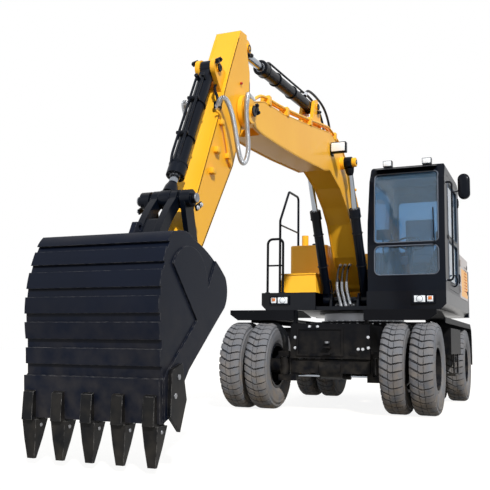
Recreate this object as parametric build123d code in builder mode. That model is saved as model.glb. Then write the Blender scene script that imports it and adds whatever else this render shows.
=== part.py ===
"""Wheeled excavator: undercarriage on twin tyres, slewing upper structure, boom, arm and bucket.

Millimetres. +X is forward, +Y is the machine's left, +Z is up, and the tyres stand on Z = 0.
The upper structure is measured from the slewing centre, which lies behind the frame's origin,
because the boom reaches far forward: (SLEW_X, SLEW_Y) is that centre in the part's frame.
"""
from build123d import *
from math import cos, hypot, pi, radians, sin, tan
import os

os.makedirs("parts", exist_ok=True)

# Slewing centre in the part's frame, and the boom's plane beside it
SLEW_X = -2155.0
SLEW_Y = -140.0
BOOM_Y = -120.0

# General fits
RUNNING = 0.3
PLAY = 5.0

# Wheels and axles
TYRE_RADIUS = 528.0
TYRE_HALF_WIDTH = 140.0
TREAD_HALF = 104.0
SHOULDER_RADIUS = 496.0
GROOVE_RADIUS = 503.0
BULGE_RADIUS = 400.0
BEAD_HALF = 88.0
LUGS = 24
LUG_HALF = 0.30 * 2 * pi / LUGS
LUG_FOOT = 0.36 * 2 * pi / LUGS
LUG_TURN = -90 + 180 / LUGS
BEAD_RADIUS = 254.0
RIM_HALF_WIDTH = 100.0
RIM_WALL = 10.0
RIM_FLANGE = 19.0
TWIN_HALF_PITCH = 165.0
TWIN_Y = 970.0
HUB_RADIUS = 130.0
SPINDLE_RADIUS = 55.0
SPINDLE_END = 1090.0
FRONT_AXLE_X = 1640.0
WHEELBASE = 2810.0
REAR_AXLE_X = FRONT_AXLE_X - WHEELBASE
BEAM_HALF_HEIGHT = 80.0
BEAM_HALF_LENGTH = 75.0
KINGPIN_Y = 600.0
KINGPIN_RADIUS = 30.0
KNUCKLE_HALF_HEIGHT = 103.0
KNUCKLE_RADIUS = 62.0
FORK_ARM = 70.0
STEER_ARM = 160.0
STEER_ROD_RADIUS = 18.0
SHAFT_Z = 500.0
SHAFT_RADIUS = 35.0

# Chassis
CHASSIS_HALF = 380.0
CHASSIS_BOTTOM = 620.0
CHASSIS_TOP = 1040.0
CHASSIS_FRONT = FRONT_AXLE_X + 110.0
CHASSIS_REAR = REAR_AXLE_X - 530.0
FRONT_PLATE = 50.0
TOW_PIN = (CHASSIS_FRONT + 34, -20.0, 715.0)
FRONT_PLATE_HALF = 490.0
AXLE_NOTCH_TOP = 740.0
TURRET_RADIUS = 560.0
RING_RADIUS = 555.0
RING_BORE = 430.0
RING_BOTTOM = 1110.0
RING_TOP = 1220.0
GUARD_SHEET = 10.0
GUARD_TOP = 1200.0
REAR_GUARD_TOP = 1140.0
GUARD_END = 1270.0

# Upper structure
UPPER_FRONT = 800.0
UPPER_REAR = -1720.0
UPPER_HALF = 1245.0
BAY_RIGHT = -470.0
BAY_LEFT = 230.0
SKIRT_BOTTOM = 1250.0
BAY_FLOOR = 1300.0
DECK_TOP = 1490.0
DECK_SHEET = 12.0
TAIL_CORNER = UPPER_REAR - 166.0
TAIL_RADIUS = hypot(TAIL_CORNER, UPPER_HALF)
TAIL_TOP = 1990.0
HOUSING_FRONT = -740.0
HOUSING_TOP = 2130.0
HOUSING_WALL = 20.0
DOOR_THICK = 24.5

# Cab
CAB_RIGHT = 245.0
CAB_REAR = -700.0
CAB_TOP = 3170.0
CAB_WALL = 45.0
GLASS = 6.0
GLASS_IN = 16.0
DOOR_GAP = 5.0
CAB_DOOR = (-560.0, 560.0, 1530.0, 3040.0)
CAB_WIDTH = UPPER_HALF - CAB_RIGHT
CAB_MIDDLE = CAB_RIGHT + CAB_WIDTH / 2

# Pivots of the working arm, (x, z) from the slewing centre
BOOM_FOOT = (20.0, 1700.0)
ARM_PIVOT = (4480.0, 2820.0)
BUCKET_PIVOT = (5674.0, 1093.0)
ROCKER_PIVOT = (5458.0, 1405.0)
LINK_TOP = (5603.0, 1820.0)
LINK_FOOT = (5930.0, 1360.0)
LIFT_FOOT = (500.0, 1400.0)
LIFT_HEAD = (1360.0, 3090.0)
STICK_FOOT = (2150.0, 3600.0)
STICK_HEAD = (4320.0, 3485.0)
CURL_FOOT = (4960.0, 3065.0)

# Working arm sections
BOOM_HALF = 166.0
BRACKET_HALF_GAP = 171.0
BRACKET_THICK = 28.0
LIFT_Y = 266.0
ARM_HALF = 120.0
CLEVIS_HALF_GAP = 125.0
EYE_HALF = 45.0
EYE_GAP_HALF = 50.0
EAR_THICK = 40.0
LINK_HALF = 105.0
ROCKER_INNER = 130.0
ROCKER_THICK = 40.0
BUCKET_EAR_INNER = 178.0
BUCKET_EAR_THICK = 36.0
BUCKET_HALF = 485.0
BUCKET_SHEET = 20.0
TOOTH_PITCH = 215.0


def plan(height):
    """A level plane at this height, measured from the slewing centre."""
    return Plane(origin=(SLEW_X, SLEW_Y, height))


def side(across):
    """A plane seen from the machine's right: x forward, y up."""
    return Plane(origin=(SLEW_X, SLEW_Y + across, 0), x_dir=(1, 0, 0), z_dir=(0, -1, 0))


def front(along):
    """A plane seen from behind the machine: x to the left side, y up, facing forward."""
    return Plane(origin=(SLEW_X + along, SLEW_Y, 0), x_dir=(0, 1, 0), z_dir=(1, 0, 0))


def at(x, y, z):
    """A point measured from the slewing centre, in the part's frame."""
    return (SLEW_X + x, SLEW_Y + y, z)


def plate(outline, across, thick, mode=Mode.ADD, rounding=0.0):
    """A side-view outline, `thick` wide and centred at `across`."""
    with BuildSketch(side(across)) as shape:
        with BuildLine():
            Polyline(outline, close=True)
        make_face()
        if rounding:
            fillet(shape.vertices(), rounding)
    extrude(shape.sketch, amount=thick / 2, both=True, mode=mode)


def face_plate(outline, back, ahead, mode=Mode.ADD, rounding=0.0):
    """A front-view outline of (y, z) points, from back to ahead."""
    with BuildSketch(front(back)) as shape:
        with BuildLine():
            Polyline(outline, close=True)
        make_face()
        if rounding:
            fillet(shape.vertices(), rounding)
    extrude(shape.sketch, amount=ahead - back, mode=mode)


def block(x_span, y_span, z_span, mode=Mode.ADD):
    """A box between three spans."""
    with BuildSketch(plan(z_span[0])) as base:
        with Locations(((x_span[0] + x_span[1]) / 2, (y_span[0] + y_span[1]) / 2)):
            Rectangle(x_span[1] - x_span[0], y_span[1] - y_span[0])
    extrude(base.sketch, amount=z_span[1] - z_span[0], mode=mode)


def cross_bar(pivot, across, radius, length, mode=Mode.ADD):
    """A round bar across the machine at the side-view point `pivot`."""
    with BuildSketch(side(across)) as section:
        with Locations(pivot):
            Circle(radius)
    extrude(section.sketch, amount=length / 2, both=True, mode=mode)


def post(x, y, z_span, radius, mode=Mode.ADD):
    """A round upright bar."""
    with BuildSketch(plan(z_span[0])) as section:
        with Locations((x, y)):
            Circle(radius)
    extrude(section.sketch, amount=z_span[1] - z_span[0], mode=mode)


def fore_bar(y, z, x_span, radius, mode=Mode.ADD):
    """A round bar along the machine."""
    with BuildSketch(front(x_span[0])) as section:
        with Locations((y, z)):
            Circle(radius)
    extrude(section.sketch, amount=x_span[1] - x_span[0], mode=mode)


def pipe(points, radius, bend):
    """A round pipe along straight runs joined by arcs of one bend radius."""
    with BuildLine() as run:
        FilletPolyline([at(*point) for point in points], radius=bend)
    with BuildSketch(Plane(origin=run.line @ 0, z_dir=run.line % 0)) as section:
        Circle(radius)
    sweep(section.sketch, path=run.line)


def reach(hand, inner, outer):
    """The span of y from `inner` to `outer` on one hand of the machine."""
    return tuple(sorted((hand * inner, hand * outer)))


def capsule(start, end, start_radius, end_radius, across, thick, mode=Mode.ADD):
    """A plate between two pivots, rounded about each of them."""
    with BuildSketch(side(across)) as shape:
        with Locations(start):
            Circle(start_radius)
        with Locations(end):
            Circle(end_radius)
        make_hull()
    extrude(shape.sketch, amount=thick / 2, both=True, mode=mode)


def both_sides(middle, offset):
    """The two places at one distance either side of a middle."""
    return (middle - offset, middle + offset)


parts = {}

# Undercarriage: chassis, turret and front plate
with BuildPart() as chassis_frame:
    plate(
        [
            (CHASSIS_REAR, CHASSIS_BOTTOM),
            (CHASSIS_FRONT, CHASSIS_BOTTOM),
            (CHASSIS_FRONT, CHASSIS_TOP),
            (CHASSIS_REAR + 80, CHASSIS_TOP),
            (CHASSIS_REAR, CHASSIS_TOP - 80),
        ],
        0,
        2 * CHASSIS_HALF,
    )
    post(0, 0, (760, RING_BOTTOM - 25), TURRET_RADIUS)
    post(0, 0, (RING_BOTTOM - 25, RING_BOTTOM), TURRET_RADIUS + 40)
    block(
        (CHASSIS_FRONT - FRONT_PLATE, CHASSIS_FRONT),
        (-FRONT_PLATE_HALF, FRONT_PLATE_HALF),
        (CHASSIS_BOTTOM, CHASSIS_TOP),
    )
    for y in both_sides(0, 440):
        block(
            (CHASSIS_FRONT - 100, CHASSIS_FRONT),
            both_sides(y, 15),
            (CHASSIS_TOP - 200, GUARD_TOP - GUARD_SHEET),
        )
    for y in both_sides(0, 350):
        for x in (REAR_AXLE_X - 300, REAR_AXLE_X + 300):
            block((x - 40, x + 40), (y - 20, y + 20), (CHASSIS_TOP, REAR_GUARD_TOP - GUARD_SHEET))
    block(
        (FRONT_AXLE_X - 210, CHASSIS_FRONT - FRONT_PLATE),
        (-CHASSIS_HALF, CHASSIS_HALF),
        (CHASSIS_BOTTOM, AXLE_NOTCH_TOP),
        mode=Mode.SUBTRACT,
    )
    block(
        (REAR_AXLE_X - 250, REAR_AXLE_X + 250),
        (-240, 240),
        (CHASSIS_BOTTOM, AXLE_NOTCH_TOP + 20),
        mode=Mode.SUBTRACT,
    )
    block((CHASSIS_FRONT, CHASSIS_FRONT + 15), (-410, 170), (650, 990))
    block((CHASSIS_FRONT, CHASSIS_FRONT + 15), (-385, 145), (675, 965), mode=Mode.SUBTRACT)
    for z in both_sides(TOW_PIN[2], 40):
        block((CHASSIS_FRONT, CHASSIS_FRONT + 62), (TOW_PIN[1] - 45, TOW_PIN[1] + 45), (z - 10, z + 10))
    post(TOW_PIN[0], TOW_PIN[1], (TOW_PIN[2] - 51, TOW_PIN[2] + 51), 15, Mode.SUBTRACT)
parts["chassis_frame"] = chassis_frame

with BuildPart() as slew_ring:
    post(0, 0, (RING_BOTTOM, RING_TOP), RING_RADIUS)
    post(0, 0, (RING_BOTTOM, RING_TOP), RING_BORE, mode=Mode.SUBTRACT)
parts["slew_ring"] = slew_ring

# Mudguards: front plates with a valance, a running board and a rear plate curved behind the tyres
RUNNING_BOARD = 900.0
GUARD_NOSE = CHASSIS_FRONT + 60.0
FRONT_ARCH = FRONT_AXLE_X - 530.0
REAR_ARCH = REAR_AXLE_X + 530.0
REAR_GUARD_RADIUS = 690.0
GUARD_LIP = 70.0
with BuildPart() as mudguards:
    guard_end = REAR_AXLE_X - REAR_GUARD_RADIUS
    for hand in (-1, 1):
        for inner, outer, outline in (
            (
                430,
                GUARD_END,
                [
                    (GUARD_NOSE, 1075),
                    (GUARD_NOSE, GUARD_TOP),
                    (FRONT_AXLE_X - 200, GUARD_TOP),
                    (FRONT_ARCH, REAR_GUARD_TOP),
                    (FRONT_ARCH, REAR_GUARD_TOP - GUARD_SHEET),
                    (FRONT_AXLE_X - 200, GUARD_TOP - GUARD_SHEET),
                    (GUARD_NOSE - GUARD_SHEET, GUARD_TOP - GUARD_SHEET),
                    (GUARD_NOSE - GUARD_SHEET, 1075),
                ],
            ),
            (
                RUNNING_BOARD,
                GUARD_END,
                [
                    (FRONT_ARCH, REAR_GUARD_TOP),
                    (REAR_ARCH, REAR_GUARD_TOP),
                    (REAR_ARCH, REAR_GUARD_TOP - GUARD_SHEET),
                    (FRONT_ARCH, REAR_GUARD_TOP - GUARD_SHEET),
                ],
            ),
            (
                320,
                GUARD_END,
                [
                    (REAR_ARCH, REAR_GUARD_TOP),
                    (guard_end + 200, REAR_GUARD_TOP),
                    (guard_end + 50, 1050),
                    (guard_end, 900),
                    (guard_end, 520),
                    (guard_end + GUARD_SHEET, 520),
                    (guard_end + GUARD_SHEET, 897),
                    (guard_end + 57, 1043),
                    (guard_end + 204, REAR_GUARD_TOP - GUARD_SHEET),
                    (REAR_ARCH, REAR_GUARD_TOP - GUARD_SHEET),
                ],
            ),
            (
                GUARD_END - GUARD_SHEET,
                GUARD_END,
                [
                    (FRONT_ARCH, REAR_GUARD_TOP),
                    (guard_end + 200, REAR_GUARD_TOP),
                    (guard_end + 200, REAR_GUARD_TOP - GUARD_LIP),
                    (FRONT_ARCH, REAR_GUARD_TOP - GUARD_LIP),
                ],
            ),
        ):
            plate(outline, hand * (inner + outer) / 2, outer - inner)
        face_plate(
            [(hand * 1160, 1070), (hand * (GUARD_END + 5), 1070), (hand * (GUARD_END + 5), 1150)],
            GUARD_NOSE - 20,
            GUARD_NOSE + 10,
            mode=Mode.SUBTRACT,
        )
parts["mudguards"] = mudguards

# Boxes and steps between the axles
BOX_SPAN = (REAR_AXLE_X + 620.0, FRONT_AXLE_X - 1160.0)
BOX_INNER = 650.0
BOX_OUTER = 1250.0
BOX_BOTTOM = 690.0
BOX_TOP = 1025.0
STEP_HALF = 220.0
STEP_HEIGHT = 430.0
with BuildPart() as side_boxes:
    box_middle = (BOX_SPAN[0] + BOX_SPAN[1]) / 2
    for hand in (-1, 1):
        block(BOX_SPAN, reach(hand, BOX_INNER, BOX_OUTER), (BOX_BOTTOM, BOX_TOP))
        for x in both_sides(box_middle, 300):
            block(both_sides(x, 40), reach(hand, CHASSIS_HALF, BOX_INNER), (BOX_BOTTOM, BOX_BOTTOM + 45))
            block(
                both_sides(x, 20),
                reach(hand, RUNNING_BOARD, RUNNING_BOARD + 60),
                (BOX_TOP, REAR_GUARD_TOP - GUARD_SHEET),
            )
        for x in both_sides(box_middle, STEP_HALF - 20):
            block(both_sides(x, 20), reach(hand, BOX_OUTER - 20, BOX_OUTER), (STEP_HEIGHT - 10, BOX_BOTTOM))
        block(
            both_sides(box_middle, STEP_HALF),
            reach(hand, BOX_OUTER - 120, BOX_OUTER + 10),
            (STEP_HEIGHT - 25, STEP_HEIGHT),
        )
parts["side_boxes"] = side_boxes

# Front axle: differential, beam, steering forks and the steering cylinder's barrel
with BuildPart() as front_axle:
    block(
        both_sides(FRONT_AXLE_X, BEAM_HALF_LENGTH),
        (-480, 480),
        both_sides(TYRE_RADIUS, BEAM_HALF_HEIGHT),
    )
    cross_bar((FRONT_AXLE_X, SHAFT_Z), 0, 112, 260)
    fore_bar(0, SHAFT_Z, (1400, FRONT_AXLE_X), 70)
    block((1500, 1630), (-90, 90), (560, 720))
    fore_bar(0, 670, (FRONT_AXLE_X - 210, CHASSIS_FRONT - FRONT_PLATE), 40)
    fork_bottom = TYRE_RADIUS - KNUCKLE_HALF_HEIGHT - PLAY
    fork_top = TYRE_RADIUS + KNUCKLE_HALF_HEIGHT + PLAY
    for hand in (-1, 1):
        face_plate(
            [
                (hand * 440, fork_bottom - FORK_ARM),
                (hand * 665, fork_bottom - FORK_ARM),
                (hand * 665, fork_bottom),
                (hand * 510, fork_bottom),
                (hand * 510, fork_top),
                (hand * 665, fork_top),
                (hand * 665, fork_top + FORK_ARM),
                (hand * 440, fork_top + FORK_ARM),
            ],
            FRONT_AXLE_X - 55,
            FRONT_AXLE_X + 55,
        )
        post(
            FRONT_AXLE_X,
            hand * KINGPIN_Y,
            (fork_bottom - FORK_ARM, fork_top + FORK_ARM),
            KINGPIN_RADIUS + RUNNING,
            mode=Mode.SUBTRACT,
        )
    cross_bar((FRONT_AXLE_X - STEER_ARM, 415), 0, 45, 380)
    for y in both_sides(0, 120):
        block((1490, 1600), (y - 25, y + 25), (400, 470))
    cross_bar((FRONT_AXLE_X - STEER_ARM, 415), 0, STEER_ROD_RADIUS + RUNNING, 400, mode=Mode.SUBTRACT)
parts["front_axle"] = front_axle

with BuildPart() as rear_axle:
    block(
        both_sides(REAR_AXLE_X, BEAM_HALF_LENGTH + 5),
        (-620, 620),
        both_sides(TYRE_RADIUS, BEAM_HALF_HEIGHT),
    )
    cross_bar((REAR_AXLE_X, TYRE_RADIUS), 0, 170, 280)
    fore_bar(0, SHAFT_Z, (REAR_AXLE_X, REAR_AXLE_X + 270), 70)
    cross_bar((REAR_AXLE_X, TYRE_RADIUS), 0, 85, 2 * 800)
    cross_bar((REAR_AXLE_X, TYRE_RADIUS), 0, SPINDLE_RADIUS, 2 * SPINDLE_END)
    for y in both_sides(0, 310):
        block((REAR_AXLE_X - 60, REAR_AXLE_X + 60), (y - 60, y + 60), (TYRE_RADIUS, CHASSIS_BOTTOM))
parts["rear_axle"] = rear_axle

with BuildPart() as drive_shafts:
    block((-350, 150), (-150, 150), (380, CHASSIS_BOTTOM))
    fore_bar(0, SHAFT_Z, (150, 1400), SHAFT_RADIUS)
    fore_bar(0, SHAFT_Z, (REAR_AXLE_X + 270, -350), SHAFT_RADIUS)
parts["drive_shafts"] = drive_shafts

with BuildPart() as steering_rod:
    cross_bar((FRONT_AXLE_X - STEER_ARM, 415), 0, STEER_ROD_RADIUS, 2 * KINGPIN_Y)
    for hand in (-1, 1):
        post(FRONT_AXLE_X - STEER_ARM, hand * KINGPIN_Y, (395, 435), 30)
parts["steering_rod"] = steering_rod


def knuckle(hand):
    """A steering knuckle: kingpin barrel, steering arm and wheel spindle."""
    with BuildPart() as piece:
        bottom = TYRE_RADIUS - KNUCKLE_HALF_HEIGHT
        top = TYRE_RADIUS + KNUCKLE_HALF_HEIGHT
        post(FRONT_AXLE_X, hand * KINGPIN_Y, (bottom, top), KNUCKLE_RADIUS)
        post(
            FRONT_AXLE_X,
            hand * KINGPIN_Y,
            (bottom - PLAY - FORK_ARM, top + PLAY + FORK_ARM),
            KINGPIN_RADIUS,
        )
        cross_bar((FRONT_AXLE_X, TYRE_RADIUS), hand * 720, 85, 160)
        cross_bar((FRONT_AXLE_X, TYRE_RADIUS), hand * 650, 55, 100)
        spindle = SPINDLE_END - 700
        cross_bar((FRONT_AXLE_X, TYRE_RADIUS), hand * (700 + spindle / 2), SPINDLE_RADIUS, spindle)
        with BuildSketch(plan(440)) as arm_shape:
            with Locations((FRONT_AXLE_X, hand * KINGPIN_Y)):
                Circle(50)
            with Locations((FRONT_AXLE_X - STEER_ARM, hand * KINGPIN_Y)):
                Circle(30)
            make_hull()
        extrude(arm_shape.sketch, amount=30)
    return piece


parts["knuckle_left"] = knuckle(1)
parts["knuckle_right"] = knuckle(-1)


def wheel_plane(x, hand):
    """A radial plane through a wheel: x out from the hub, y out of the machine."""
    return Plane(
        origin=at(x, hand * TWIN_Y, TYRE_RADIUS),
        x_dir=(0, 0, 1),
        z_dir=(-hand, 0, 0),
    )


def wheel_axis(x, hand):
    """The line that a wheel turns about."""
    return Axis(at(x, hand * TWIN_Y, TYRE_RADIUS), (0, 1, 0))


def tread():
    """The tread's outline about the axle: flat-topped lugs with sloping flanks."""
    corners = []
    for number in range(LUGS):
        middle = 2 * pi * number / LUGS - pi / 2
        for turn, radius in (
            (-LUG_FOOT, GROOVE_RADIUS),
            (-LUG_HALF, TYRE_RADIUS / cos(LUG_HALF)),
            (LUG_HALF, TYRE_RADIUS / cos(LUG_HALF)),
            (LUG_FOOT, GROOVE_RADIUS),
        ):
            corners.append((radius * cos(middle + turn), radius * sin(middle + turn)))
    return corners


# One flat facet of the tyre's casing: its section, cut to the wedge of one lug
with BuildPart() as casing_facet:
    with BuildSketch(Plane(origin=(0, 0, 0), x_dir=(0, 0, -1), z_dir=(1, 0, 0))):
        with BuildLine():
            Polyline(
                (BEAD_RADIUS + RUNNING, -BEAD_HALF),
                (BULGE_RADIUS, -TYRE_HALF_WIDTH),
                (SHOULDER_RADIUS, -TREAD_HALF),
                (SHOULDER_RADIUS, TREAD_HALF),
                (BULGE_RADIUS, TYRE_HALF_WIDTH),
                (BEAD_RADIUS + RUNNING, BEAD_HALF),
                close=True,
            )
        make_face()
    extrude(amount=TYRE_RADIUS * tan(pi / LUGS), both=True)
    with BuildSketch(Plane.XZ):
        wedge_half = TYRE_RADIUS * tan(pi / LUGS)
        with BuildLine():
            Polyline((0, 0), (-wedge_half, -TYRE_RADIUS), (wedge_half, -TYRE_RADIUS), close=True)
        make_face()
    extrude(amount=TYRE_HALF_WIDTH, both=True, mode=Mode.INTERSECT)

# One tyre about its own centre, with flat facets and its lugs fused to it
with BuildPart() as tyre:
    with BuildSketch(Plane.XZ):
        with BuildLine():
            Polyline(tread(), close=True)
        make_face()
        RegularPolygon((SHOULDER_RADIUS - 20) / cos(pi / LUGS), LUGS, rotation=LUG_TURN, mode=Mode.SUBTRACT)
    extrude(amount=TREAD_HALF, both=True)
    add([casing_facet.part.rotate(Axis.Y, 360 * number / LUGS) for number in range(LUGS)])


def tyres(x, hand):
    """The two tyres of a twin wheel."""
    with BuildPart() as pair:
        for y in both_sides(hand * TWIN_Y, TWIN_HALF_PITCH):
            add(tyre.part.moved(Location(at(x, y, TYRE_RADIUS))))
    return pair


def rims(x, hand):
    """The two rims of a twin wheel with their shared hub drum."""
    with BuildPart() as pair:
        with BuildSketch(wheel_plane(x, hand)) as section:
            for middle in both_sides(0, TWIN_HALF_PITCH):
                with Locations((BEAD_RADIUS - RIM_WALL / 2, middle)):
                    Rectangle(RIM_WALL, 2 * RIM_HALF_WIDTH + 20)
                for lip in both_sides(middle, RIM_HALF_WIDTH + 10):
                    with Locations((BEAD_RADIUS - RIM_WALL + (RIM_WALL + RIM_FLANGE) / 2, lip)):
                        Rectangle(RIM_WALL + RIM_FLANGE, 8)
            with BuildLine():
                Polyline((110, 8), (250, 110), (250, 126), (110, 26), close=True)
            make_face()
            with BuildLine():
                Polyline((110, -8), (250, -110), (250, -126), (110, -26), close=True)
            make_face()
            with Locations(((HUB_RADIUS + SPINDLE_RADIUS + RUNNING) / 2, -20)):
                Rectangle(HUB_RADIUS - SPINDLE_RADIUS - RUNNING, 290)
            with Locations((50, 150)):
                Rectangle(100, 50)
        revolve(section.sketch, axis=wheel_axis(x, hand))
    return pair


for place, wheel_x, hand in (
    ("front_left", FRONT_AXLE_X, 1),
    ("front_right", FRONT_AXLE_X, -1),
    ("rear_left", REAR_AXLE_X, 1),
    ("rear_right", REAR_AXLE_X, -1),
):
    parts["tyres_" + place] = tyres(wheel_x, hand)
    parts["rims_" + place] = rims(wheel_x, hand)

# Upper structure: bay floor, two platforms, boom brackets
SKIRT_CHAMFER = 70.0
with BuildPart() as upper_frame:
    post(0, 0, (RING_TOP + RUNNING, SKIRT_BOTTOM), 620)
    block((UPPER_REAR, UPPER_FRONT - 20), (BAY_RIGHT, BAY_LEFT), (SKIRT_BOTTOM, BAY_FLOOR))
    for hand, bay in ((1, BAY_LEFT), (-1, BAY_RIGHT)):
        for inset, mode in ((0, Mode.ADD), (DECK_SHEET, Mode.SUBTRACT)):
            outer = hand * (UPPER_HALF - inset)
            face_plate(
                [
                    (bay, SKIRT_BOTTOM + inset),
                    (outer - hand * SKIRT_CHAMFER, SKIRT_BOTTOM + inset),
                    (outer, SKIRT_BOTTOM + SKIRT_CHAMFER + inset),
                    (outer, DECK_TOP - inset),
                    (bay, DECK_TOP - inset),
                ],
                UPPER_REAR + inset,
                UPPER_FRONT - inset,
                mode=mode,
            )
    for y in both_sides(BOOM_Y, BRACKET_HALF_GAP + BRACKET_THICK / 2):
        plate(
            [
                (UPPER_REAR, BAY_FLOOR),
                (UPPER_REAR, DECK_TOP - 10),
                (-420, DECK_TOP - 10),
                (-160, 1700),
                (-120, 1800),
                (-20, 1860),
                (100, 1850),
                (190, 1770),
                (330, 1580),
                (470, 1500),
                (570, 1480),
                (620, 1400),
                (640, BAY_FLOOR),
            ],
            y,
            BRACKET_THICK,
        )
    cross_bar(BOOM_FOOT, BOOM_Y, 50, 2 * (BRACKET_HALF_GAP + BRACKET_THICK + 20))
    cross_bar(LIFT_FOOT, BOOM_Y, 40, 2 * (LIFT_Y + EYE_HALF + 12))
parts["upper_frame"] = upper_frame

# Counterweight with a tail arc about the slewing centre
with BuildPart() as counterweight:
    with BuildSketch(plan(SKIRT_BOTTOM)) as tail:
        with BuildLine():
            Polyline(
                (TAIL_CORNER, UPPER_HALF),
                (UPPER_REAR, UPPER_HALF),
                (UPPER_REAR, -UPPER_HALF),
                (TAIL_CORNER, -UPPER_HALF),
            )
            ThreePointArc((TAIL_CORNER, -UPPER_HALF), (-TAIL_RADIUS, 0), (TAIL_CORNER, UPPER_HALF))
        make_face()
    extrude(tail.sketch, amount=TAIL_TOP - SKIRT_BOTTOM)
    fillet(counterweight.edges().filter_by(Axis.Z).group_by(Axis.X)[0], 90)
    fillet(counterweight.edges().group_by(Axis.Z)[-1], 30)
parts["counterweight"] = counterweight

with BuildPart() as engine_block:
    block((UPPER_REAR + 200, HOUSING_FRONT - 160), (-560, 380), (DECK_TOP, HOUSING_TOP - 150))
parts["engine_block"] = engine_block

# Engine housing: walls round the engine, open to the hood and the side doors
HOUSING_HALF = UPPER_HALF - DOOR_THICK - 0.5
HOOD = (UPPER_REAR + 80, HOUSING_FRONT - 80, 450.0)
HOOD_HINGE = (HOUSING_FRONT - 72, HOUSING_TOP + 12)
with BuildPart() as engine_housing:
    block((UPPER_REAR, HOUSING_FRONT), (-HOUSING_HALF, HOUSING_HALF), (DECK_TOP, HOUSING_TOP))
    block(
        (UPPER_REAR + HOUSING_WALL, HOUSING_FRONT - HOUSING_WALL),
        (HOUSING_WALL - HOUSING_HALF, HOUSING_HALF - HOUSING_WALL),
        (DECK_TOP, HOUSING_TOP - HOUSING_WALL),
        mode=Mode.SUBTRACT,
    )
    block(
        (UPPER_REAR + 80, HOUSING_FRONT - 80),
        (-UPPER_HALF, UPPER_HALF),
        (DECK_TOP + 40, HOUSING_TOP - 60),
        mode=Mode.SUBTRACT,
    )
    block((HOOD[0] + 30, HOOD[1] - 30), (30 - HOOD[2], HOOD[2] - 30), (2000, 2200), mode=Mode.SUBTRACT)
parts["engine_housing"] = engine_housing

with BuildPart() as engine_hood:
    block((HOOD[0], HOOD[1]), (-HOOD[2], HOOD[2]), (HOUSING_TOP + 0.5, HOUSING_TOP + 70))
    block(
        (HOOD[0] + 20, HOOD[1] - 20),
        (20 - HOOD[2], HOOD[2] - 20),
        (HOUSING_TOP + 0.5, HOUSING_TOP + 50),
        mode=Mode.SUBTRACT,
    )
    fillet(engine_hood.edges().group_by(Axis.Z)[-1], 15)
    for y in both_sides(0, 300):
        cross_bar(HOOD_HINGE, y, 10, 80)
parts["engine_hood"] = engine_hood

SIDE_DOOR_HINGE = (HOUSING_FRONT - 3, UPPER_HALF + 7)
LOUVRES = 9
LOUVRE_PITCH = 45.0
LOUVRE_DEPTH = 12.0
for place, hand in (("left", 1), ("right", -1)):
    with BuildPart() as side_door:
        block(
            (UPPER_REAR + 10, HOUSING_FRONT - 5),
            reach(hand, UPPER_HALF - DOOR_THICK, UPPER_HALF),
            (DECK_TOP + 5, HOUSING_TOP - 5),
        )
        with BuildSketch(side(hand * UPPER_HALF)) as louvres:
            with Locations(((UPPER_REAR + HOUSING_FRONT) / 2 - 200, (DECK_TOP + HOUSING_TOP) / 2)):
                with GridLocations(0, LOUVRE_PITCH, 1, LOUVRES):
                    Rectangle(360, 18)
        extrude(louvres.sketch, amount=LOUVRE_DEPTH, both=True, mode=Mode.SUBTRACT)
        for height in both_sides((DECK_TOP + HOUSING_TOP) / 2, 190):
            post(SIDE_DOOR_HINGE[0], hand * SIDE_DOOR_HINGE[1], both_sides(height, 45), 12)
    parts["side_door_" + place] = side_door

with BuildPart() as fuel_tank:
    block((HOUSING_FRONT + 20, 200), (205 - UPPER_HALF, BAY_RIGHT - 10), (DECK_TOP, 2220))
    fillet(fuel_tank.edges().filter_by(Axis.Z), 40)
    fillet(fuel_tank.edges().group_by(Axis.Z)[-1], 20)
    post(-200, 305 - UPPER_HALF, (2220, 2420), 50)
parts["fuel_tank"] = fuel_tank

TOOL_BOX = (230.0, 720.0, 235.0 - UPPER_HALF, BAY_RIGHT - 10, 1740.0)
with BuildPart() as tool_box:
    with BuildSketch(plan(DECK_TOP)) as foot:
        with Locations(((TOOL_BOX[0] + TOOL_BOX[1]) / 2, (TOOL_BOX[2] + TOOL_BOX[3]) / 2)):
            Rectangle(TOOL_BOX[1] - TOOL_BOX[0], TOOL_BOX[3] - TOOL_BOX[2])
    extrude(foot.sketch, amount=TOOL_BOX[4] - DECK_TOP, taper=5)
    block(
        (TOOL_BOX[0] + 50, TOOL_BOX[1] - 50),
        (TOOL_BOX[2] + 50, TOOL_BOX[3] - 50),
        (DECK_TOP + 20, 1800),
        mode=Mode.SUBTRACT,
    )
parts["tool_box"] = tool_box

with BuildPart() as tool_box_lid:
    block(
        (TOOL_BOX[0] + 10, TOOL_BOX[1] - 10),
        (TOOL_BOX[2] + 15, TOOL_BOX[3] - 15),
        (TOOL_BOX[4] + 0.5, TOOL_BOX[4] + 20),
    )
    for y in both_sides((TOOL_BOX[2] + TOOL_BOX[3]) / 2, 170):
        cross_bar((TOOL_BOX[0] + 6, TOOL_BOX[4] + 11), y, 9, 60)
parts["tool_box_lid"] = tool_box_lid

with BuildPart() as handrails:
    low_rail = (75 - UPPER_HALF, 300 - UPPER_HALF)
    pipe(
        [
            (770, low_rail[0], DECK_TOP),
            (770, low_rail[0], 2240),
            (770, low_rail[1], 2240),
            (770, low_rail[1], DECK_TOP),
        ],
        17,
        70,
    )
    cross_bar((770, 1870), (low_rail[0] + low_rail[1]) / 2, 12, low_rail[1] - low_rail[0])
    tall_rail = 255 - UPPER_HALF
    pipe(
        [
            (770, tall_rail, DECK_TOP),
            (770, tall_rail, 2500),
            (400, tall_rail, 2980),
            (-20, tall_rail, 2980),
            (-20, tall_rail, 2220),
        ],
        17,
        60,
    )
    fore_bar(tall_rail, 2440, (-20, 770), 12)
parts["handrails"] = handrails


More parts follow.
